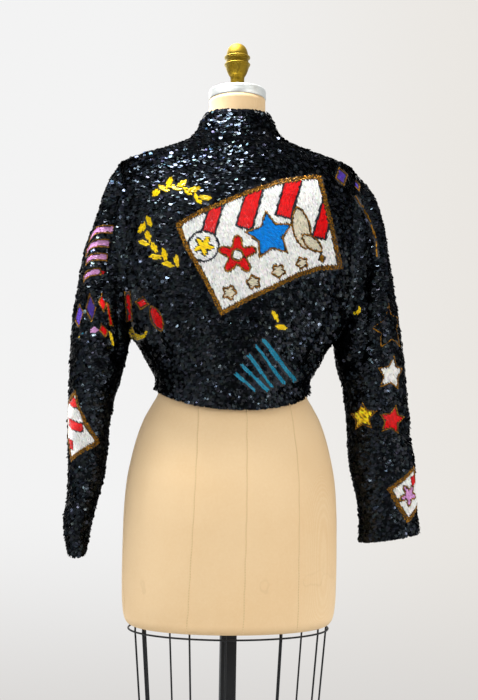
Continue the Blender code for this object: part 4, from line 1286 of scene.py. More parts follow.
def brass_look(name):
    """Old brass: brown in the hollows, yellower where hands have polished it."""
    look = Look(name, Metallic=1.0)
    place = look.place()
    x, y, _ = look.axes(place)
    away = (x * x + y * y) ** 0.5
    polished = away.ramp(0.013, 0.021)
    cloud = look.noise(place, 70.0, 5.0, 0.65)
    bright = look.mixed(polished, colour((0.50, 0.40, 0.10)), colour((0.72, 0.64, 0.36)))
    dull = colour((0.53, 0.45, 0.17))
    look.feed("Base Color", look.mixed(cloud.ramp(0.4, 0.7) * 0.5, bright, dull))
    look.feed("Roughness", 0.52 - polished * 0.14 + cloud * 0.12)
    look.bump(cloud * 0.5 + look.noise(place, 500.0, 2.0) * 0.5, 0.00015, 0.5)
    return look.material


def enamel_look(name):
    """Black stove enamel on steel: slight orange peel, rust and dust in places."""
    look = Look(name, Specular_IOR_Level=0.3)
    place = look.place()
    chips = look.noise(place, 60.0, 5.0, 0.65)
    dust = look.noise(place, 12.0, 3.0, 0.5)
    black, rust = colour((0.045, 0.048, 0.055)), colour((0.16, 0.12, 0.09))
    rusted_and_darker_rim = look.mixed(chips.ramp(0.66, 0.74), black, rust)
    dusty = colour((0.42, 0.41, 0.39))
    look.feed("Base Color", look.mixed(dust.ramp(0.4, 0.8) * 0.04, rusted_and_darker_rim, dusty))
    look.feed("Roughness", 0.38 + dust * 0.2 + chips * 0.1)
    look.feed("Metallic", chips.ramp(0.66, 0.74) * 0.5)
    look.bump(look.noise(place, 320.0, 3.0) * 0.7 + chips * 0.3, 0.0002, 0.4)
    return look.material


def floor_look(name):
    """The pale matt floor, a little cloudy."""
    look = Look(name, Specular_IOR_Level=0.3)
    cloud = look.noise(look.place(), 2.0, 3.0)
    pale, deep = colour((0.66, 0.655, 0.65)), colour((0.64, 0.635, 0.63))
    look.feed("Base Color", look.mixed(cloud.ramp(0.3, 0.7), pale, deep))
    look.feed("Roughness", 0.7 + cloud * 0.1)
    return look.material


# Making meshes


def mesh_piece(name, points, faces, look, smooth=True, tint=None):
    """A piece from whole arrays. faces is a list of arrays, each with one number of corners."""
    corners = np.concatenate([f.ravel() for f in faces])
    counts = np.concatenate([np.full(len(f), f.shape[1]) for f in faces])
    mesh = bpy.data.meshes.new(name)
    mesh.vertices.add(len(points))
    mesh.vertices.foreach_set("co", np.ascontiguousarray(points, np.float32).ravel())
    mesh.loops.add(len(corners))
    mesh.loops.foreach_set("vertex_index", corners.astype(np.int32))
    mesh.polygons.add(len(counts))
    mesh.polygons.foreach_set("loop_start", (np.cumsum(counts) - counts).astype(np.int32))
    mesh.polygons.foreach_set("use_smooth", np.full(len(counts), smooth))
    mesh.update(calc_edges=True)
    if tint is not None:
        layer = mesh.attributes.new("tint", "FLOAT_COLOR", "POINT")
        layer.data.foreach_set("color", np.ascontiguousarray(tint, np.float32).ravel())
    mesh.materials.append(look)
    piece = bpy.data.objects.new(name, mesh)
    bpy.context.scene.collection.objects.link(piece)
    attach(piece, "root")
    return piece


def grid_faces(number):
    """The four-cornered faces between the rows and columns of a grid of point numbers."""
    a, b = number[:-1], number[1:]
    return np.stack([a[:, :-1], a[:, 1:], b[:, 1:], b[:, :-1]], axis=-1).reshape(-1, 4)


def wall_piece(cloth, look):
    """A panel's ground cloth: a closed wall from the sequins' bed to the inner face."""
    outer = (cloth.points - cloth.into * SEQUIN_BED)[::COARSER]
    inner = (cloth.points - cloth.into * WALL)[::COARSER]
    outer, inner = outer[:, ::COARSER], inner[:, ::COARSER]
    rows, columns = outer.shape[:2]
    number = np.arange(rows * columns).reshape(rows, columns)
    if cloth.closed:
        number = np.concatenate([number, number[:, :1]], axis=1)
    back = number + rows * columns
    ends = [np.stack([back[0], number[0]]), np.stack([number[-1], back[-1]])]
    faces = [grid_faces(number), grid_faces(back)[:, ::-1]] + [grid_faces(e) for e in ends]
    if not cloth.closed:
        sides = [np.stack([number[:, 0], back[:, 0]]), np.stack([back[:, -1], number[:, -1]])]
        faces += [grid_faces(s) for s in sides]
    if cloth.turned < 0:
        faces = [f[:, ::-1] for f in faces]
    points = np.concatenate([outer.reshape(-1, 3), inner.reshape(-1, 3)])
    return mesh_piece(f"cloth_{cloth.name}", points, faces, look)


def cup_template():
    """A faceted cup: a rim of corners, joined to a sunk middle above and one just below."""
    turn = np.arange(SEQUIN_SIDES) * 2 * math.pi / SEQUIN_SIDES
    rim = np.stack([np.cos(turn), np.sin(turn), SEQUIN_RIM + 0 * turn], axis=1)
    points = np.concatenate([rim, [[0, 0, 0.0], [0, 0, SEQUIN_UNDER]]]) * SEQUIN_RADIUS
    here = np.arange(SEQUIN_SIDES)
    after = (here + 1) % SEQUIN_SIDES
    above = np.stack([here, after, here * 0 + SEQUIN_SIDES], axis=1)
    below = np.stack([after, here, here * 0 + SEQUIN_SIDES + 1], axis=1)
    return points, [np.concatenate([above, below])]


def bugle_template(length, width, height):
    """A short glass tube lying along x: a five-cornered section with flat ends."""
    section = np.array([(-0.5, -0.3), (0.5, -0.3), (0.5, 0.35), (0.0, 0.75), (-0.5, 0.35)])
    ends = []
    for x in (-length / 2, length / 2):
        y, z = section[:, 0] * width, section[:, 1] * height
        ends.append(np.stack([x + 0 * y, y, z], axis=1))
    here = np.arange(len(section))
    after = (here + 1) % len(section)
    sides = np.stack([here, after, after + len(section), here + len(section)], axis=1)
    return np.concatenate(ends), [sides, np.stack([here[::-1], here + len(section)])]


def bead_template(radius):
    """A small round bead: two rings of six between two poles."""
    turn = np.arange(6) * math.pi / 3
    points = [[(0, 0, -0.88)]]
    points += [
        np.stack([0.88 * np.cos(turn), 0.88 * np.sin(turn), z + 0 * turn], axis=1)
        for z in (-0.44, 0.44)
    ]
    points += [[(0, 0, 0.88)]]
    number = np.arange(12).reshape(2, 6) + 1
    number = np.concatenate([number, number[:, :1]], axis=1)
    low = np.stack([number[0, 1:], number[0, :-1], number[0, 1:] * 0], axis=1)
    high = np.stack([number[1, :-1], number[1, 1:], number[1, 1:] * 0 + 13], axis=1)
    return np.concatenate(points) * radius, [grid_faces(number), np.concatenate([low, high])]


def scattered(template, at, x_way, y_way, z_way):
    """Copies of a template, one at each place, turned to its three directions."""
    points, faces = template
    placed = (
        at[:, None]
        + points[None, :, :1] * x_way[:, None]
        + points[None, :, 1:2] * y_way[:, None]
        + points[None, :, 2:] * z_way[:, None]
    )
    start = np.arange(len(at))[:, None, None] * len(points)
    return placed.reshape(-1, 3), [(f[None] + start).reshape(-1, f.shape[1]) for f in faces]


def joined(parts):
    """Several scattered lots as one: points, faces and tints."""
    points, faces, tints, start = [], [], [], 0
    for lot_points, lot_faces, lot_tint in parts:
        points.append(lot_points)
        faces += [f + start for f in lot_faces]
        tints.append(lot_tint)
        start += len(lot_points)
    return np.concatenate(points), faces, np.concatenate(tints)


def ways_at(cloth, place):
    """At each place: the point, the normal, the way up the panel, and the way across."""
    point, normal = cloth.at(place)
    ahead, _ = cloth.at(place + [0.5, 0])
    behind, _ = cloth.at(place - [0.5, 0])
    up = ahead - behind
    if cloth.closed:
        up = -up
    up = unit(up - (up * normal).sum(-1, keepdims=True) * normal)
    return point, normal, up, np.cross(up, normal)


def scale_places(cloth):
    """Places in rows, like a fish's scales: even steps down each column and along each row.

    The first and last rows lie so near the cloth's edges that their sequins hang past them.
    """
    run = np.linalg.norm(np.diff(cloth.points, axis=0), axis=-1).cumsum(axis=0)
    run = np.concatenate([np.zeros((1, cloth.columns)), run])
    count = round(run[-1].mean() / SEQUIN_DOWN)
    edge = EDGE_ROW_INSIDE / run[-1].mean()
    shares = np.linspace(edge, 1 - edge, count + 1)
    index = np.arange(cloth.rows)
    row_at = np.stack(
        [np.interp(shares * run[-1, c], run[:, c], index) for c in range(cloth.columns)], axis=1
    )
    if cloth.closed:
        row_at = np.concatenate([row_at, row_at[:, :1]], axis=1)
    cols = np.arange(row_at.shape[1], dtype=float)
    places = []
    for k in range(len(shares)):
        points, _ = cloth.at(np.stack([row_at[k], cols], axis=1))
        length = np.linalg.norm(np.diff(points, axis=0), axis=-1).cumsum()
        length = np.concatenate([[0], length])
        number = max(1, round(length[-1] / SEQUIN_ACROSS))
        steps = (np.arange(number) + 0.25 + 0.5 * (k % 2)) / number
        steps = steps + ROLL.normal(0, SEQUIN_WANDER[1], number) / number
        col = np.interp(steps * length[-1], length, cols)
        places.append(np.stack([np.interp(col, cols, row_at[k]), col], axis=1))
    places = np.concatenate(places)
    row_step = SEQUIN_DOWN * cloth.rows / run[-1].mean()
    places[:, 0] += ROLL.normal(0, SEQUIN_WANDER[0], len(places)) * row_step
    return places


def sequin_piece(cloth, places, look):
    """The panel's black sequins, each leaning like a scale and a little askew.

    A sequin faces along the normal plus the lean, the askew parts and the brushing.
    """
    point, normal, up, across = ways_at(cloth, places)
    n = len(places)
    lean = up * math.tan(SEQUIN_LEAN) + normal
    loose = np.where(ROLL.uniform(0, 1, (n, 1)) < SEQUIN_LOOSE, 2.0, 1.0)
    askew = ROLL.normal(0, math.tan(SEQUIN_SPREAD), (n, 2)) * loose
    brushed = BRUSHED * ease(*BRUSHED_X, point[:, :1]) * ease(*BRUSHED_Z, point[:, 2:])
    facing = unit(lean + up * askew[:, :1] + across * askew[:, 1:] - brushed * [1, 0, 0])
    turn = ROLL.uniform(0, 2 * math.pi, (n, 1))
    flat_x = np.cross(up, facing)
    x_way = unit(flat_x) * np.cos(turn) + unit(np.cross(facing, flat_x)) * np.sin(turn)
    y_way = np.cross(facing, x_way)
    lift = ROLL.uniform(*SEQUIN_LIFT, (n, 1)) * loose
    at = point + normal * lift
    points, faces = scattered(cup_template(), at, x_way, y_way, facing)
    shade = ROLL.uniform(*SEQUIN_SHADES, (n, 1)) * seen_as(BLACK)
    shade = shade * (1 + ROLL.normal(0, 0.08, (n, 3)) * [1, 0.6, 1.2])
    tint = np.concatenate([np.clip(shade, 0, 1), ROLL.uniform(0, 1, (n, 1))], axis=1)
    each = len(points) // n
    tint = np.repeat(tint, each, axis=0)
    name = f"sequins_{cloth.name}"
    return mesh_piece(name, points, faces, look, smooth=False, tint=tint)


# Beaded motifs


def outline_of(kind):
    """A motif's outline, one unit long and wide about its middle."""
    turn = np.linspace(0, 2 * math.pi, 60, endpoint=False)
    if kind == "bar":
        return np.array([(-0.5, -0.5), (0.5, -0.5), (0.5, 0.5), (-0.5, 0.5)])
    if kind == "diamond":
        return np.array([(-0.5, 0.0), (0.0, -0.5), (0.5, 0.0), (0.0, 0.5)])
    if kind == "star":
        turn = np.linspace(0, 2 * math.pi, 10, endpoint=False)
        away = np.where(np.arange(10) % 2, 0.26, 0.5)
    elif kind == "flower":
        away = 0.37 + 0.13 * np.cos(5 * turn)
    elif kind == "rosette":
        away = 0.42 + 0.08 * np.cos(5 * turn)
    elif kind == "leaf":
        x, y = np.cos(turn), np.sin(turn) * np.abs(np.sin(turn)) ** 0.5
        return np.stack([x, y], axis=1) / 2
    elif kind == "crescent":
        outer = np.radians(np.linspace(45, 315, 28))
        inner = np.radians(np.linspace(292, 68, 20))
        inner = np.stack([0.26 + 0.38 * np.cos(inner), 0.38 * np.sin(inner)], axis=1)
        return np.concatenate([np.stack([np.cos(outer), np.sin(outer)], axis=1) / 2, inner])
    else:
        away = 0 * turn + 0.5
    return np.stack([away * np.cos(turn), away * np.sin(turn)], axis=1)


def placed_outline(kind, x, y, long, wide, turn):
    """A motif's outline in the picture: stretched, turned, and moved to its middle."""
    if kind == "panel":
        return np.array(PANEL, float)
    cosine, sine = math.cos(math.radians(turn)), math.sin(math.radians(turn))
    corners = outline_of(kind) * [long, wide]
    return corners @ np.array([[cosine, sine], [-sine, cosine]]) + [x, y]


def line_shapes(places):
    """Narrow bronze bars from each place to the next."""
    shapes = []
    for (ax, ay), (bx, by) in zip(places, places[1:]):
        turn = math.degrees(math.atan2(by - ay, bx - ax))
        middle = (ax + bx) / 2, (ay + by) / 2
        long = math.hypot(bx - ax, by - ay)
        shapes.append(("bar", BRONZE, BRONZE, 0, turn, *middle, long, LINE_WIDTH, turn))
    return tuple(shapes)


def how_deep(points, corners):
    """How far inside a closed outline points lie, below nought outside."""
    run = np.roll(corners, -1, axis=0) - corners
    away = points[:, None] - corners[None]
    share = np.clip((away * run).sum(-1) / (run * run).sum(-1), 0, 1)
    distance = np.linalg.norm(away - share[..., None] * run, axis=-1).min(axis=1)
    x, y = points[:, :1], points[:, 1:]
    (ax, ay), (bx, by) = corners.T, np.roll(corners, -1, axis=0).T
    met = ((ay > y) != (by > y)) & (x < ax + (y - ay) * (bx - ax) / np.where(by == ay, 1, by - ay))
    return np.where(met.sum(axis=1) % 2, distance, -distance)


def covered(points, corners, margin):
    """Which points an outline covers, with a margin round it."""
    low, high = corners.min(axis=0) - margin, corners.max(axis=0) + margin
    near = np.flatnonzero(((points > low) & (points < high)).all(axis=1))
    result = np.zeros(len(points), bool)
    if len(near):
        result[near] = how_deep(points[near], corners) > -margin
    return result


def fill_spots(corners, grain, inset):
    """Bead places that fill an outline: wavering rows along the grain, each half a step on."""
    middle = (corners.min(axis=0) + corners.max(axis=0)) / 2
    reach = np.ptp(corners, axis=0).max()
    u = np.arange(-reach, reach, BUGLE_STEP)
    v = np.arange(-reach, reach, BUGLE_ROW)
    u, v = np.meshgrid(u, v, indexing="ij")
    u = u + 0.5 * BUGLE_STEP * (np.arange(v.shape[1]) % 2)
    v = v + ROW_WAVE[0] * np.sin(u / ROW_WAVE[1])
    along = np.array([math.cos(grain), math.sin(grain)])
    across = np.array([-along[1], along[0]])
    spots = (middle + u[..., None] * along + v[..., None] * across).reshape(-1, 2)
    spots = spots + ROLL.normal(0, FILL_WANDER, spots.shape)
    near = np.abs(spots - middle).max(axis=1) < reach
    spots = spots[near]
    return spots[how_deep(spots, corners) > inset]


def rim_spots(corners, inset):
    """Even places along an outline, moved inwards by inset."""
    ring = np.concatenate([corners, corners[:1]])
    length = np.concatenate([[0], np.linalg.norm(np.diff(ring, axis=0), axis=1).cumsum()])
    at = np.linspace(0, length[-1], round(length[-1] / RIM_STEP), endpoint=False)
    spots = np.stack([np.interp(at, length, ring[:, k]) for k in (0, 1)], axis=1)
    run = np.roll(spots, -1, axis=0) - np.roll(spots, 1, axis=0)
    inward = unit(np.stack([-run[:, 1], run[:, 0]], axis=1))
    after = np.roll(corners, -1, axis=0)
    way = np.sign((corners[:, 0] * after[:, 1] - after[:, 0] * corners[:, 1]).sum())
    spots = spots + inward * way * inset
    return spots[how_deep(spots, corners) > inset - 0.4]


def seen_place(cloth, target):
    """The place on a cloth that shows at each place in the picture, and how far off it is.

    It starts at the nearest grid point that faces the camera and takes Newton steps.
    """
    nodes = picture(cloth.points[::2, ::2])
    faces_eye = (cloth.normals * unit(EYE - cloth.points)).sum(-1)[::2, ::2] > 0.05
    nodes = np.where(faces_eye[..., None], nodes, 1e5)
    shape = nodes.shape[:2]
    nodes = nodes.reshape(-1, 2)
    nearest = [
        ((part[:, None] - nodes) ** 2).sum(-1).argmin(axis=1)
        for part in np.array_split(target, len(target) // 500 + 1)
    ]
    place = 2.0 * np.stack(np.unravel_index(np.concatenate(nearest), shape), axis=1)

    def shown(at):
        return picture(cloth.at(at)[0])

    for _ in range(6):
        miss = target - shown(place)
        row = (shown(place + [0.3, 0]) - shown(place - [0.3, 0])) / 0.6
        col = (shown(place + [0, 0.3]) - shown(place - [0, 0.3])) / 0.6
        span = row[:, 0] * col[:, 1] - row[:, 1] * col[:, 0]
        span = np.where(np.abs(span) < 1e-4, np.inf, span)
        row_by = (miss[:, 0] * col[:, 1] - miss[:, 1] * col[:, 0]) / span
        col_by = (row[:, 0] * miss[:, 1] - row[:, 1] * miss[:, 0]) / span
        place = place + np.clip(np.stack([row_by, col_by], axis=1), -1.5, 1.5)
        place[:, 0] = np.clip(place[:, 0], 0, cloth.rows - 1)
    point, normal = cloth.at(place)
    away = np.linalg.norm(EYE - point, axis=1)
    good = np.linalg.norm(picture(point) - target, axis=1) < 0.35
    good &= (normal * (EYE - point)).sum(-1) / away > 0.03
    return place, np.where(good, away, np.inf)


class Seen:
    """Motifs laid out in the picture and carried straight back onto the cloth behind it."""

    def __init__(self, names):
        self.names = names

    def places(self, spots):
        """For each spot the cloth's index, below nought for none, and the place on it."""
        best = np.full(len(spots), np.inf)
        which = np.full(len(spots), -1)
        place = np.zeros((len(spots), 2))
        for index, name in enumerate(self.names):
            at, away = seen_place(CLOTHS[name], spots)
            better = away < best
            best[better], which[better], place[better] = away[better], index, at[better]
        return which, place

    def spots(self, cloth, place):
        """Where places on a cloth fall in the picture, far off for those that face away."""
        if cloth.name not in self.names:
            return np.full((len(place), 2), FAR_OFF)
        point, normal = cloth.at(place)
        hidden = (normal * (EYE - point)).sum(-1) < 0
        return np.where(hidden[:, None], FAR_OFF, picture(point))


class Wrapped:
    """Motifs laid out flat and wrapped round a sleeve about one place that the picture shows."""

    def __init__(self, name, middle):
        self.names = [name]
        cloth = CLOTHS[name]
        self.cloth = cloth
        self.side = -1 if name == "sleeve_left" else 1
        loop = np.concatenate([cloth.points, cloth.points[:, :1]], axis=1)
        steps = np.linalg.norm(np.diff(loop, axis=1), axis=-1) / PIXEL
        self.round_it = np.concatenate([np.zeros((cloth.rows, 1)), steps.cumsum(axis=1)], axis=1)
        self.middle = seen_place(cloth, np.array([middle], float))[0][0]
        index = np.arange(cloth.rows)
        line = cloth.at(np.stack([index, np.full(cloth.rows, self.middle[1])], axis=1))[0]
        down = np.linalg.norm(np.diff(line, axis=0), axis=-1).cumsum() / PIXEL
        self.down = np.concatenate([[0], down])
        self.down -= np.interp(self.middle[0], index, self.down)
        self.turn = np.eye(2)
        self.turn = self.level()

    def level(self):
        """Shares of the ways round and down that make the picture's right and down."""
        corners = np.array([(0.0, 0.0), (2.0, 0.0), (0.0, 2.0)])
        point, normal = self.cloth.at(self.places(corners)[1])
        ways = (point[1:] - point[0]) / 2
        right = unit(EYE_RIGHT - (EYE_RIGHT @ normal[0]) * normal[0])
        below = np.cross(right, normal[0])
        below = below * np.sign(-below[2])
        solve = np.linalg.pinv(ways.T)
        return PIXEL * np.stack([solve @ right, solve @ below], axis=1)

    def places(self, spots):
        """For each spot nought, or below it off the sleeve, and the place on the sleeve.

        The row comes from the way down, and the column from the way round the rows about it.
        """
        spots = spots @ self.turn.T
        index = np.arange(self.cloth.rows)
        row = np.interp(spots[:, 1], self.down, index)
        low = np.clip(row.astype(int), 0, self.cloth.rows - 2)
        ring = np.arange(-self.cloth.columns, 2 * self.cloth.columns + 1)
        col = np.zeros(len(spots))
        for i in np.unique(low):
            own = low == i
            for k, share in ((i, 1 - (row[own] - i)), (i + 1, row[own] - i)):
                once, all_round = self.round_it[k, :-1], self.round_it[k, -1]
                run = np.concatenate([once - all_round, once, self.round_it[k] + all_round])
                start = np.interp(self.middle[1], ring, run)
                col[own] += share * np.interp(start + self.side * spots[own, 0], run, ring)
        inside = (spots[:, 1] > self.down[0]) & (spots[:, 1] < self.down[-1])
        return np.where(inside, 0, -1), np.stack([row, col], axis=1)

    def spots(self, cloth, place):
        """Where places on the sleeve fall in the flat layout."""
        if cloth is not self.cloth:
            return np.full((len(place), 2), FAR_OFF)
        index = np.arange(cloth.rows)
        low = np.clip(place[:, 0].astype(int), 0, cloth.rows - 1)
        col = np.mod(place[:, 1], cloth.columns)
        first = col.astype(int)
        u = col - first
        here = self.round_it[low, first] * (1 - u) + self.round_it[low, first + 1] * u
        first = int(self.middle[1]) % cloth.columns
        start = self.round_it[low, first] + (self.middle[1] % 1) * (
            self.round_it[low, first + 1] - self.round_it[low, first]
        )
        half = self.round_it[low, -1] / 2
        across = np.mod((here - start) * self.side + half, 2 * half) - half
        spots = np.stack([across, np.interp(place[:, 0], index, self.down)], axis=1)
        return spots @ np.linalg.inv(self.turn).T


def bead_lots(host, shapes):
    """Beads of a group of shapes, of which later ones lie over earlier ones.

    Each lot has the spots, their cloths and places, the beads' direction, and their colour.
    """
    outlines = [placed_outline(kind, *where) for kind, _, _, _, _, *where in shapes]
    frame_rows = shapes[0][3]
    lots = []
    for k, (kind, fill, rim, rim_rows, grain, *where) in enumerate(shapes):
        own = outlines[k]
        grain = math.radians(grain)
        rows = []
        if fill:
            inset = FILL_IN_RIM + RIM_ROW * rim_rows if rim_rows else FILL_BARE
            rows.append((fill_spots(own, grain, inset), fill, True))
        for row in range(rim_rows):
            rows.append((rim_spots(own, RIM_FIRST + RIM_ROW * row), rim, False))
        for spots, shade, long in rows:
            if rim_rows > 1 and not long:
                spots = spots + ROLL.normal(0, RIM_WANDER, spots.shape)
            for later in outlines[k + 1 :]:
                if k or long:
                    spots = spots[~covered(spots, later, LATER_CLEARS)]
            if k and frame_rows > 1:
                spots = spots[how_deep(spots, outlines[0]) > RIM_FIRST + RIM_ROW * frame_rows]
            if len(spots):
                lots.append((spots, shade, long, grain))
    made = []
    for spots, shade, long, grain in lots:
        which, place = host.places(spots)
        step = 0.8 * np.array([math.cos(grain), math.sin(grain)])
        ahead_which, ahead = host.places(spots + step)
        good = (which >= 0) & (which == ahead_which)
        for index, name in enumerate(host.names):
            own = good & (which == index)
            if own.any():
                made.append((name, place[own], ahead[own], shade, long))
    return made, outlines


def bead_piece(cloth, lots, look):
    """All the beads on one panel, seated on its ground cloth."""
    parts = []
    for place, ahead, shade, long in lots:
        point, normal = cloth.at(place)
        x_way = cloth.at(ahead)[0] - point
        x_way = unit(x_way - (x_way * normal).sum(-1, keepdims=True) * normal)
        n = len(point)
        askew = ROLL.normal(0, BEAD_ASKEW, (n, 1))
        x_way = unit(x_way + askew * np.cross(normal, x_way))
        tilt = unit(normal + ROLL.normal(0, BEAD_TILT, (n, 3)))
        y_way = unit(np.cross(tilt, x_way))
        z_way = np.cross(x_way, y_way)
        if long:
            template, lift = bugle_template(*BUGLE), BUGLE_LIFT
        else:
            template, lift = bead_template(BEAD_RADIUS), BEAD_LIFT
        at = point + normal * (lift - SEQUIN_BED + ROLL.normal(0, LIFT_SPREAD, (n, 1)))
        points, faces = scattered(template, at, x_way, y_way, z_way)
        metal = shade == BRONZE
        spread = METAL_SPREAD if shade in (BRONZE, GOLD) else GLASS_SPREAD
        light = ROLL.normal(1, spread, (n, 1)).clip(0.25, 1.9)
        tint = np.clip(seen_as(shade) * light * (1 + ROLL.normal(0, 0.03, (n, 3))), 0, 1)
        tint = np.concatenate([tint, np.full((n, 1), float(metal))], axis=1)
        parts.append((points, faces, np.repeat(tint, len(template[0]), axis=0)))
    points, faces, tint = joined(parts)
    name = f"beads_{cloth.name}"
    return mesh_piece(name, points, faces, look, smooth=False, tint=tint)


# The form and its stand


def form_table():
    """The form's rings, and how far each is let down under the cloth."""
    across, heights = np.array(SHOULDER).T
    lengthened = np.hypot(1, np.gradient(heights, across))[1:]
    rows = [(*row, 0.0) for row in FORM_LOWER]
    for (x, z), (back, front, power), longer in zip(SHOULDER[1:], SHOULDER_DEPTHS, lengthened):
        if FORM_SHOULDER_REACH[0] < x < FORM_SHOULDER_REACH[1]:
            below = (WALL + SEAT_GAP) * longer
            rows.append((z, x, back - FORM_DEPTH_INSIDE, front - FORM_DEPTH_INSIDE, power, below))
    return np.array(rows + [(*row, 0.0) for row in FORM_NECK])


FORM = form_table()


def form_points(z, turn):
    """The form's surface: an oval ring at each height, its neck sloped to the cut."""
    measures = (through(FORM[:, 0], FORM[:, k], z) for k in range(1, 6))
    half_width, back, front, power, below = measures
    sine = powered(np.sin(turn), power)
    y = np.where(sine > 0, back, front) * sine
    x = half_width * powered(np.cos(turn), power)
    fall = NECK_DROP * ((1 - np.sin(turn)) / 2) ** NECK_DROP_POWER
    share = ease(NECK_DROP_STARTS_Z, NECK_Z, z) * (1 - ease(NECK_Z, NECK_LEVEL_Z, z))
    slope = y * math.tan(NECK_TILT) * ease(NECK_TILT_STARTS_Z, CAP_Z, z)
    return np.stack([x, y, z - below - fall * share + slope], axis=-1)


def form_piece(look):
    """The linen form: rings closer together at its lower rim, closed above and below."""
    low_z, top_z = FORM[0, 0], FORM[-1, 0]
    closer = np.linspace(0, 1, FORM_RIM_RINGS, endpoint=False) ** 1.5
    rim = low_z + (FORM[3, 0] - low_z) * closer
    z = np.concatenate([rim, np.linspace(FORM[3, 0], top_z, FORM_RINGS)])[:, None]
    turn = np.linspace(0, 2 * math.pi, FORM_SIDES, endpoint=False)
    points = form_points(z, turn[None])
    number = np.arange(points.shape[0] * FORM_SIDES).reshape(-1, FORM_SIDES)
    ends = [number[:1, ::-1], number[-1:]]
    number = np.concatenate([number, number[:, :1]], axis=1)
    faces = [grid_faces(number), *ends]
    made = mesh_piece("linen_form", points.reshape(-1, 3), faces, look)
    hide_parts("form_torso")
    return made


def seam_pieces(look):
    """The form's sewn seams: narrow raised lines from the lower rim up under the jacket.

    Each is an oval carried along a smooth curve on the form, which wavers a little.
    """
    parts = []
    z = np.linspace(FORM_LOWER[1][0], SEAM_TOP_Z, SEAM_POINTS)
    ring = np.linspace(0, 2 * math.pi, SEAM_SIDES, endpoint=False)[None, :, None]
    for side, *knots in SEAMS:
        heights, across = np.array(knots).T
        x = through(heights, across, z)
        for wander, rate in SEAM_WAVES:
            x = x + wander * np.sin(z * rate)
        half_width, power = (through(FORM[:, 0], FORM[:, k], z) for k in (1, 4))
        share = np.clip(x / half_width, -1, 1)
        turn = side * np.arccos(np.sign(share) * np.abs(share) ** (power / 2))
        path = form_points(z, turn)
        across_it = form_points(z, turn + STEP_TURN) - form_points(z, turn - STEP_TURN)
        up = np.gradient(path, axis=0)
        normal = unit(np.cross(across_it, up))
        sideways = unit(np.cross(up, normal))
        oval = SEAM_HALF_WIDTH * np.cos(ring) * sideways[:, None]
        oval = oval + SEAM_HEIGHT * np.sin(ring) * normal[:, None]
        parts.append((path[:, None] + oval).reshape(-1, 3))
    faces, start = [], 0
    for points in parts:
        faces += [f + start for f in rod_faces(SEAM_POINTS, SEAM_SIDES, False)]
        start += len(points)
    return mesh_piece("form_seams", np.concatenate(parts), faces, look)


def turned_piece(name, node, profile, look, middle, tilt):
    """A profile turned round an axis that leans back by tilt from the point middle."""
    radius, height = np.array(profile)[1:-1].T
    turn = np.linspace(0, 2 * math.pi, TURNED_SIDES, endpoint=False)
    x = radius[:, None] * np.cos(turn)
    y = radius[:, None] * np.sin(turn)
    z = height[:, None] + 0 * turn
    points = np.stack([x, y, z], axis=-1).reshape(-1, 3)
    poles = np.array([[0, 0, profile[0][1]], [0, 0, profile[-1][1]]])
    points = np.concatenate([points, poles])
    cosine, sine = math.cos(tilt), math.sin(tilt)
    lean = np.array([[1, 0, 0], [0, cosine, -sine], [0, sine, cosine]])
    number = np.arange(radius.size * TURNED_SIDES).reshape(-1, TURNED_SIDES)
    number = np.concatenate([number, number[:, :1]], axis=1)
    top, low = len(points) - 2, len(points) - 1
    first, last = number[0], number[-1]
    caps = np.concatenate(
        [
            np.stack([first[:-1], first[1:], 0 * first[1:] + top], axis=1),
            np.stack([last[1:], last[:-1], 0 * last[1:] + low], axis=1),
        ]
    )
    faces = [grid_faces(number)[:, ::-1], caps]
    made = mesh_piece(name, points @ lean.T + middle, faces, look)
    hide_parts(node)
    return made


def rod_points(path, radius, sides, closed):
    """Rings round a path: a circle square to the path's own direction at each point."""
    if closed:
        ahead = np.roll(path, -1, axis=0) - np.roll(path, 1, axis=0)
    else:
        ahead = np.gradient(path, axis=0)
    ahead = unit(ahead)
    side = np.cross(ahead, [0.0, 0.0, 1.0])
    level = np.linalg.norm(side, axis=-1, keepdims=True) > 0.2
    side = unit(np.where(level, side, np.cross(ahead, [1.0, 0, 0])))
    other = np.cross(side, ahead)
    turn = np.linspace(0, 2 * math.pi, sides, endpoint=False)[None, :, None]
    return path[:, None] + radius * (np.cos(turn) * side[:, None] + np.sin(turn) * other[:, None])


def rod_faces(rows, sides, closed):
    """The faces round a path's rings, with an end face at each end of an open one."""
    number = np.arange(rows * sides).reshape(rows, sides)
    ends = [] if closed else [number[:1], number[-1:, ::-1]]
    if closed:
        number = np.concatenate([number, number[:1]])
    number = np.concatenate([number, number[:, :1]], axis=1)
    return [grid_faces(number)[:, ::-1], *ends]


def cage_points(turn, z, inset):
    """Points on the cage's oval at this height, moved in by inset."""
    share = 1 - CAGE_NARROWS * (CAGE_TOP_Z - z)
    x = (CAGE_HALF_WIDTH * share - inset) * np.cos(turn)
    y = (CAGE_HALF_DEPTH * share - inset) * np.sin(turn)
    return np.stack([x, y, z + 0 * turn], axis=-1)


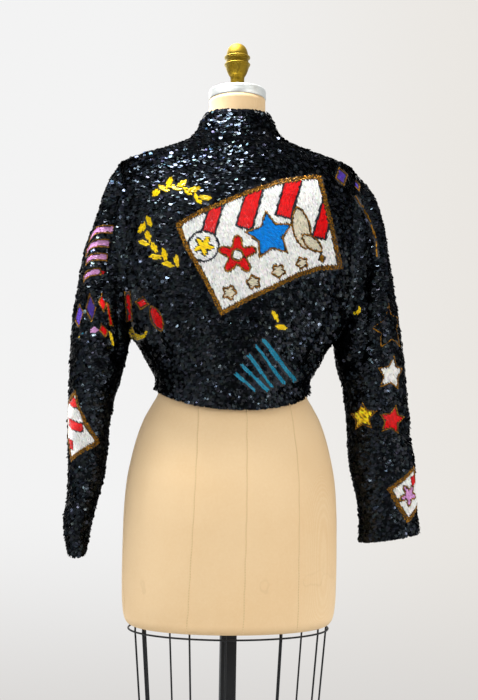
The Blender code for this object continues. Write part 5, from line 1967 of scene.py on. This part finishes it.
def cage_pieces(look):
    """Rings and upright wires: circles carried round the oval and down the wires' lines."""
    round_it = np.linspace(0, 2 * math.pi, RING_POINTS, endpoint=False)
    for number, z in enumerate(CAGE_RING_Z, 1):
        points = rod_points(cage_points(round_it, z, 0), WIRE_RADIUS, WIRE_SIDES, True)
        faces = rod_faces(RING_POINTS, WIRE_SIDES, True)
        made = mesh_piece(f"ring_{number}", points.reshape(-1, 3), faces, look)
        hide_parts(f"cage_ring_{number}")
    top = FORM_LOWER[0][0] - SEAM_GAP
    low = CAGE_RING_Z[-1] - WIRE_RADIUS
    heights = np.concatenate([[top], np.linspace(CAGE_TOP_Z, low, WIRE_STEPS)])
    for number, (turn, thick) in enumerate(CAGE_WIRES, 1):
        radius = THICK_WIRE_RADIUS if thick else WIRE_RADIUS
        inset = WIRE_RADIUS + radius + SEAM_GAP
        level = np.minimum(heights, CAGE_TOP_Z)
        path = cage_points(np.full(len(heights), math.radians(turn)), level, inset)
        path[:, 2] = heights
        points = rod_points(path, radius, WIRE_SIDES, False)
        faces = rod_faces(len(heights), WIRE_SIDES, False)
        made = mesh_piece(f"wire_{number:02d}", points.reshape(-1, 3), faces, look)
        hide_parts(f"cage_wire_{number:02d}")


# The picture's floor and light


def add_floor():
    """A round floor just under the foot."""
    turn = np.linspace(0, 2 * math.pi, FLOOR_SIDES, endpoint=False)
    x, y = FLOOR_RADIUS * np.cos(turn), FLOOR_RADIUS * np.sin(turn)
    rim = np.stack([x, y, 0 * turn - FLOOR_BELOW], axis=1)
    mesh = bpy.data.meshes.new("floor")
    mesh.from_pydata(rim.tolist(), [], [list(range(len(rim)))])
    mesh.materials.append(floor_look("pale_floor"))
    floor = bpy.data.objects.new("floor", mesh)
    bpy.context.scene.collection.objects.link(floor)


def add_lamp(name, at, aim, size, power, tint):
    """A round lamp that shines from one place at another."""
    data = bpy.data.lights.new(name, "AREA")
    data.shape = "DISK"
    data.size = size
    data.energy = power
    data.color = tint
    lamp = bpy.data.objects.new(name, data)
    bpy.context.scene.collection.objects.link(lamp)
    back = unit(np.array(at, float) - np.array(aim, float))
    side = unit(np.cross([0.0, 1.0, 0.02], back))
    turn = np.stack([side, np.cross(back, side), back], axis=1)
    lamp.matrix_world = Matrix.Translation(at) @ Matrix(turn.tolist()).to_4x4()


def add_light():
    """A pale room, darker on the side that the jacket's back faces, and the lamps."""
    world = bpy.data.worlds.new("studio")
    bpy.context.scene.world = world
    world.use_nodes = True
    tree = Tree(world.node_tree)
    x, y, z = tree.axes(tree.node("ShaderNodeTexCoord", out="Generated"))
    # The backdrop that the camera sees carries painted shading: warmer and darker towards the
    # picture's right, and darker low down.
    pale, warm = colour((0.953, 0.953, 0.953)), colour((0.915, 0.900, 0.878))
    wall = tree.mixed(1 - x.ramp(-0.32, -0.02), pale, warm)
    wall = tree.mixed(1 - z.ramp(-0.27, -0.09), wall, colour((0.84, 0.83, 0.82)))
    open_side = 1 - y.ramp(0.10, 0.75) * (1 - z.ramp(0.60, 0.95))
    above = z.ramp(0.35, 0.95) * x.ramp(-0.6, 0.5)
    soft = 0.15 + 0.56 * open_side + 0.8 * above
    ray = tree.node("ShaderNodeLightPath", out="Is Camera Ray")
    seen = tree.node("ShaderNodeBackground", None, {"Color": wall})
    cast = tree.node("ShaderNodeBackground", None, {"Color": (*SKY, 1.0), "Strength": soft})
    both = tree.node("ShaderNodeMixShader", None, {0: ray, 1: cast, 2: seen})
    world.node_tree.links.new(both.socket, world.node_tree.nodes["World Output"].inputs[0])
    for lamp in LAMPS:
        add_lamp(*lamp)


# Putting it together

add_camera()
add_floor()
add_light()
bpy.context.scene.view_settings.view_transform = "Standard"

GROUND = ground_look("knitted_ground")
SEQUINS = sequin_look("black_sequins")
BEADS = bead_look("glass_beads")
ENAMEL = enamel_look("black_enamel")
CLOTHS = {
    cloth.name: cloth
    for cloth in (
        back_cloth(),
        *front_cloths(),
        sleeve_cloth("sleeve_left", 1, SLEEVE_LEFT, CREASES_LEFT, LONG_CREASES_LEFT),
        sleeve_cloth("sleeve_right", -1, SLEEVE_RIGHT, CREASES_RIGHT, LONG_CREASES_RIGHT),
        collar_cloth(),
    )
}
# Each group of motifs with what carries it onto the cloth. Beads and the outlines that the
# sequins keep clear of come from them: of a framed group, its first outline alone.
GROUPS = [
    (Seen(["back"]), PANEL_SHAPES),
    (Seen(["back", "sleeve_left", "sleeve_right"]), SEEN_SHAPES),
    *((Wrapped(name, middle), shapes) for name, middle, shapes in WRAPPED_SHAPES),
    (Seen(["back", "sleeve_right"]), line_shapes(BRONZE_LINE)),
]
lots = {name: [] for name in CLOTHS}
covers = []
for host, shapes in GROUPS:
    made, outlines = bead_lots(host, shapes)
    if shapes[0][3] > 1:
        shapes, outlines = shapes[:1], outlines[:1]
    covers += [(host, outline, bool(shape[1])) for outline, shape in zip(outlines, shapes)]
    for name, *lot in made:
        lots[name].append(lot)

form_piece(linen_look("old_linen"))
seam_pieces(seam_look("linen_seam"))
for name, cloth in CLOTHS.items():
    ground = wall_piece(cloth, GROUND)
    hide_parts(name)
    places = scale_places(cloth)
    free = np.ones(len(places), bool)
    for host, outline, filled in covers:
        if name in host.names:
            spots = host.spots(cloth, places)
            if filled:
                free &= ~covered(spots, outline, CLEAR_ROUND_MOTIFS)
            else:
                band = covered(spots, outline, CLEAR_OUTSIDE)
                free &= ~(band & ~covered(spots, outline, -CLEAR_WITHIN))
    trim = [sequin_piece(cloth, places[free], SEQUINS)]
    if lots[name]:
        trim.append(bead_piece(cloth, lots[name], BEADS))

cap, brass = cap_look("spun_cap"), brass_look("old_brass")
turned_piece("cap", "neck_cap", CAP_PROFILE, cap, [0, 0, CAP_Z], NECK_TILT)
rise = CAP_PROFILE[0][1] + SEAM_GAP
seat = [0, -rise * math.sin(NECK_TILT), CAP_Z + rise * math.cos(NECK_TILT)]
turned_piece("brass_finial", "finial", FINIAL_PROFILE, brass, seat, NECK_TILT)
turned_piece("round_foot", "foot", FOOT_PROFILE, ENAMEL, [0, 0, 0], 0.0)
cage_pieces(ENAMEL)
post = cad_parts["post"]
post.data.materials.clear()
post.data.materials.append(ENAMEL)
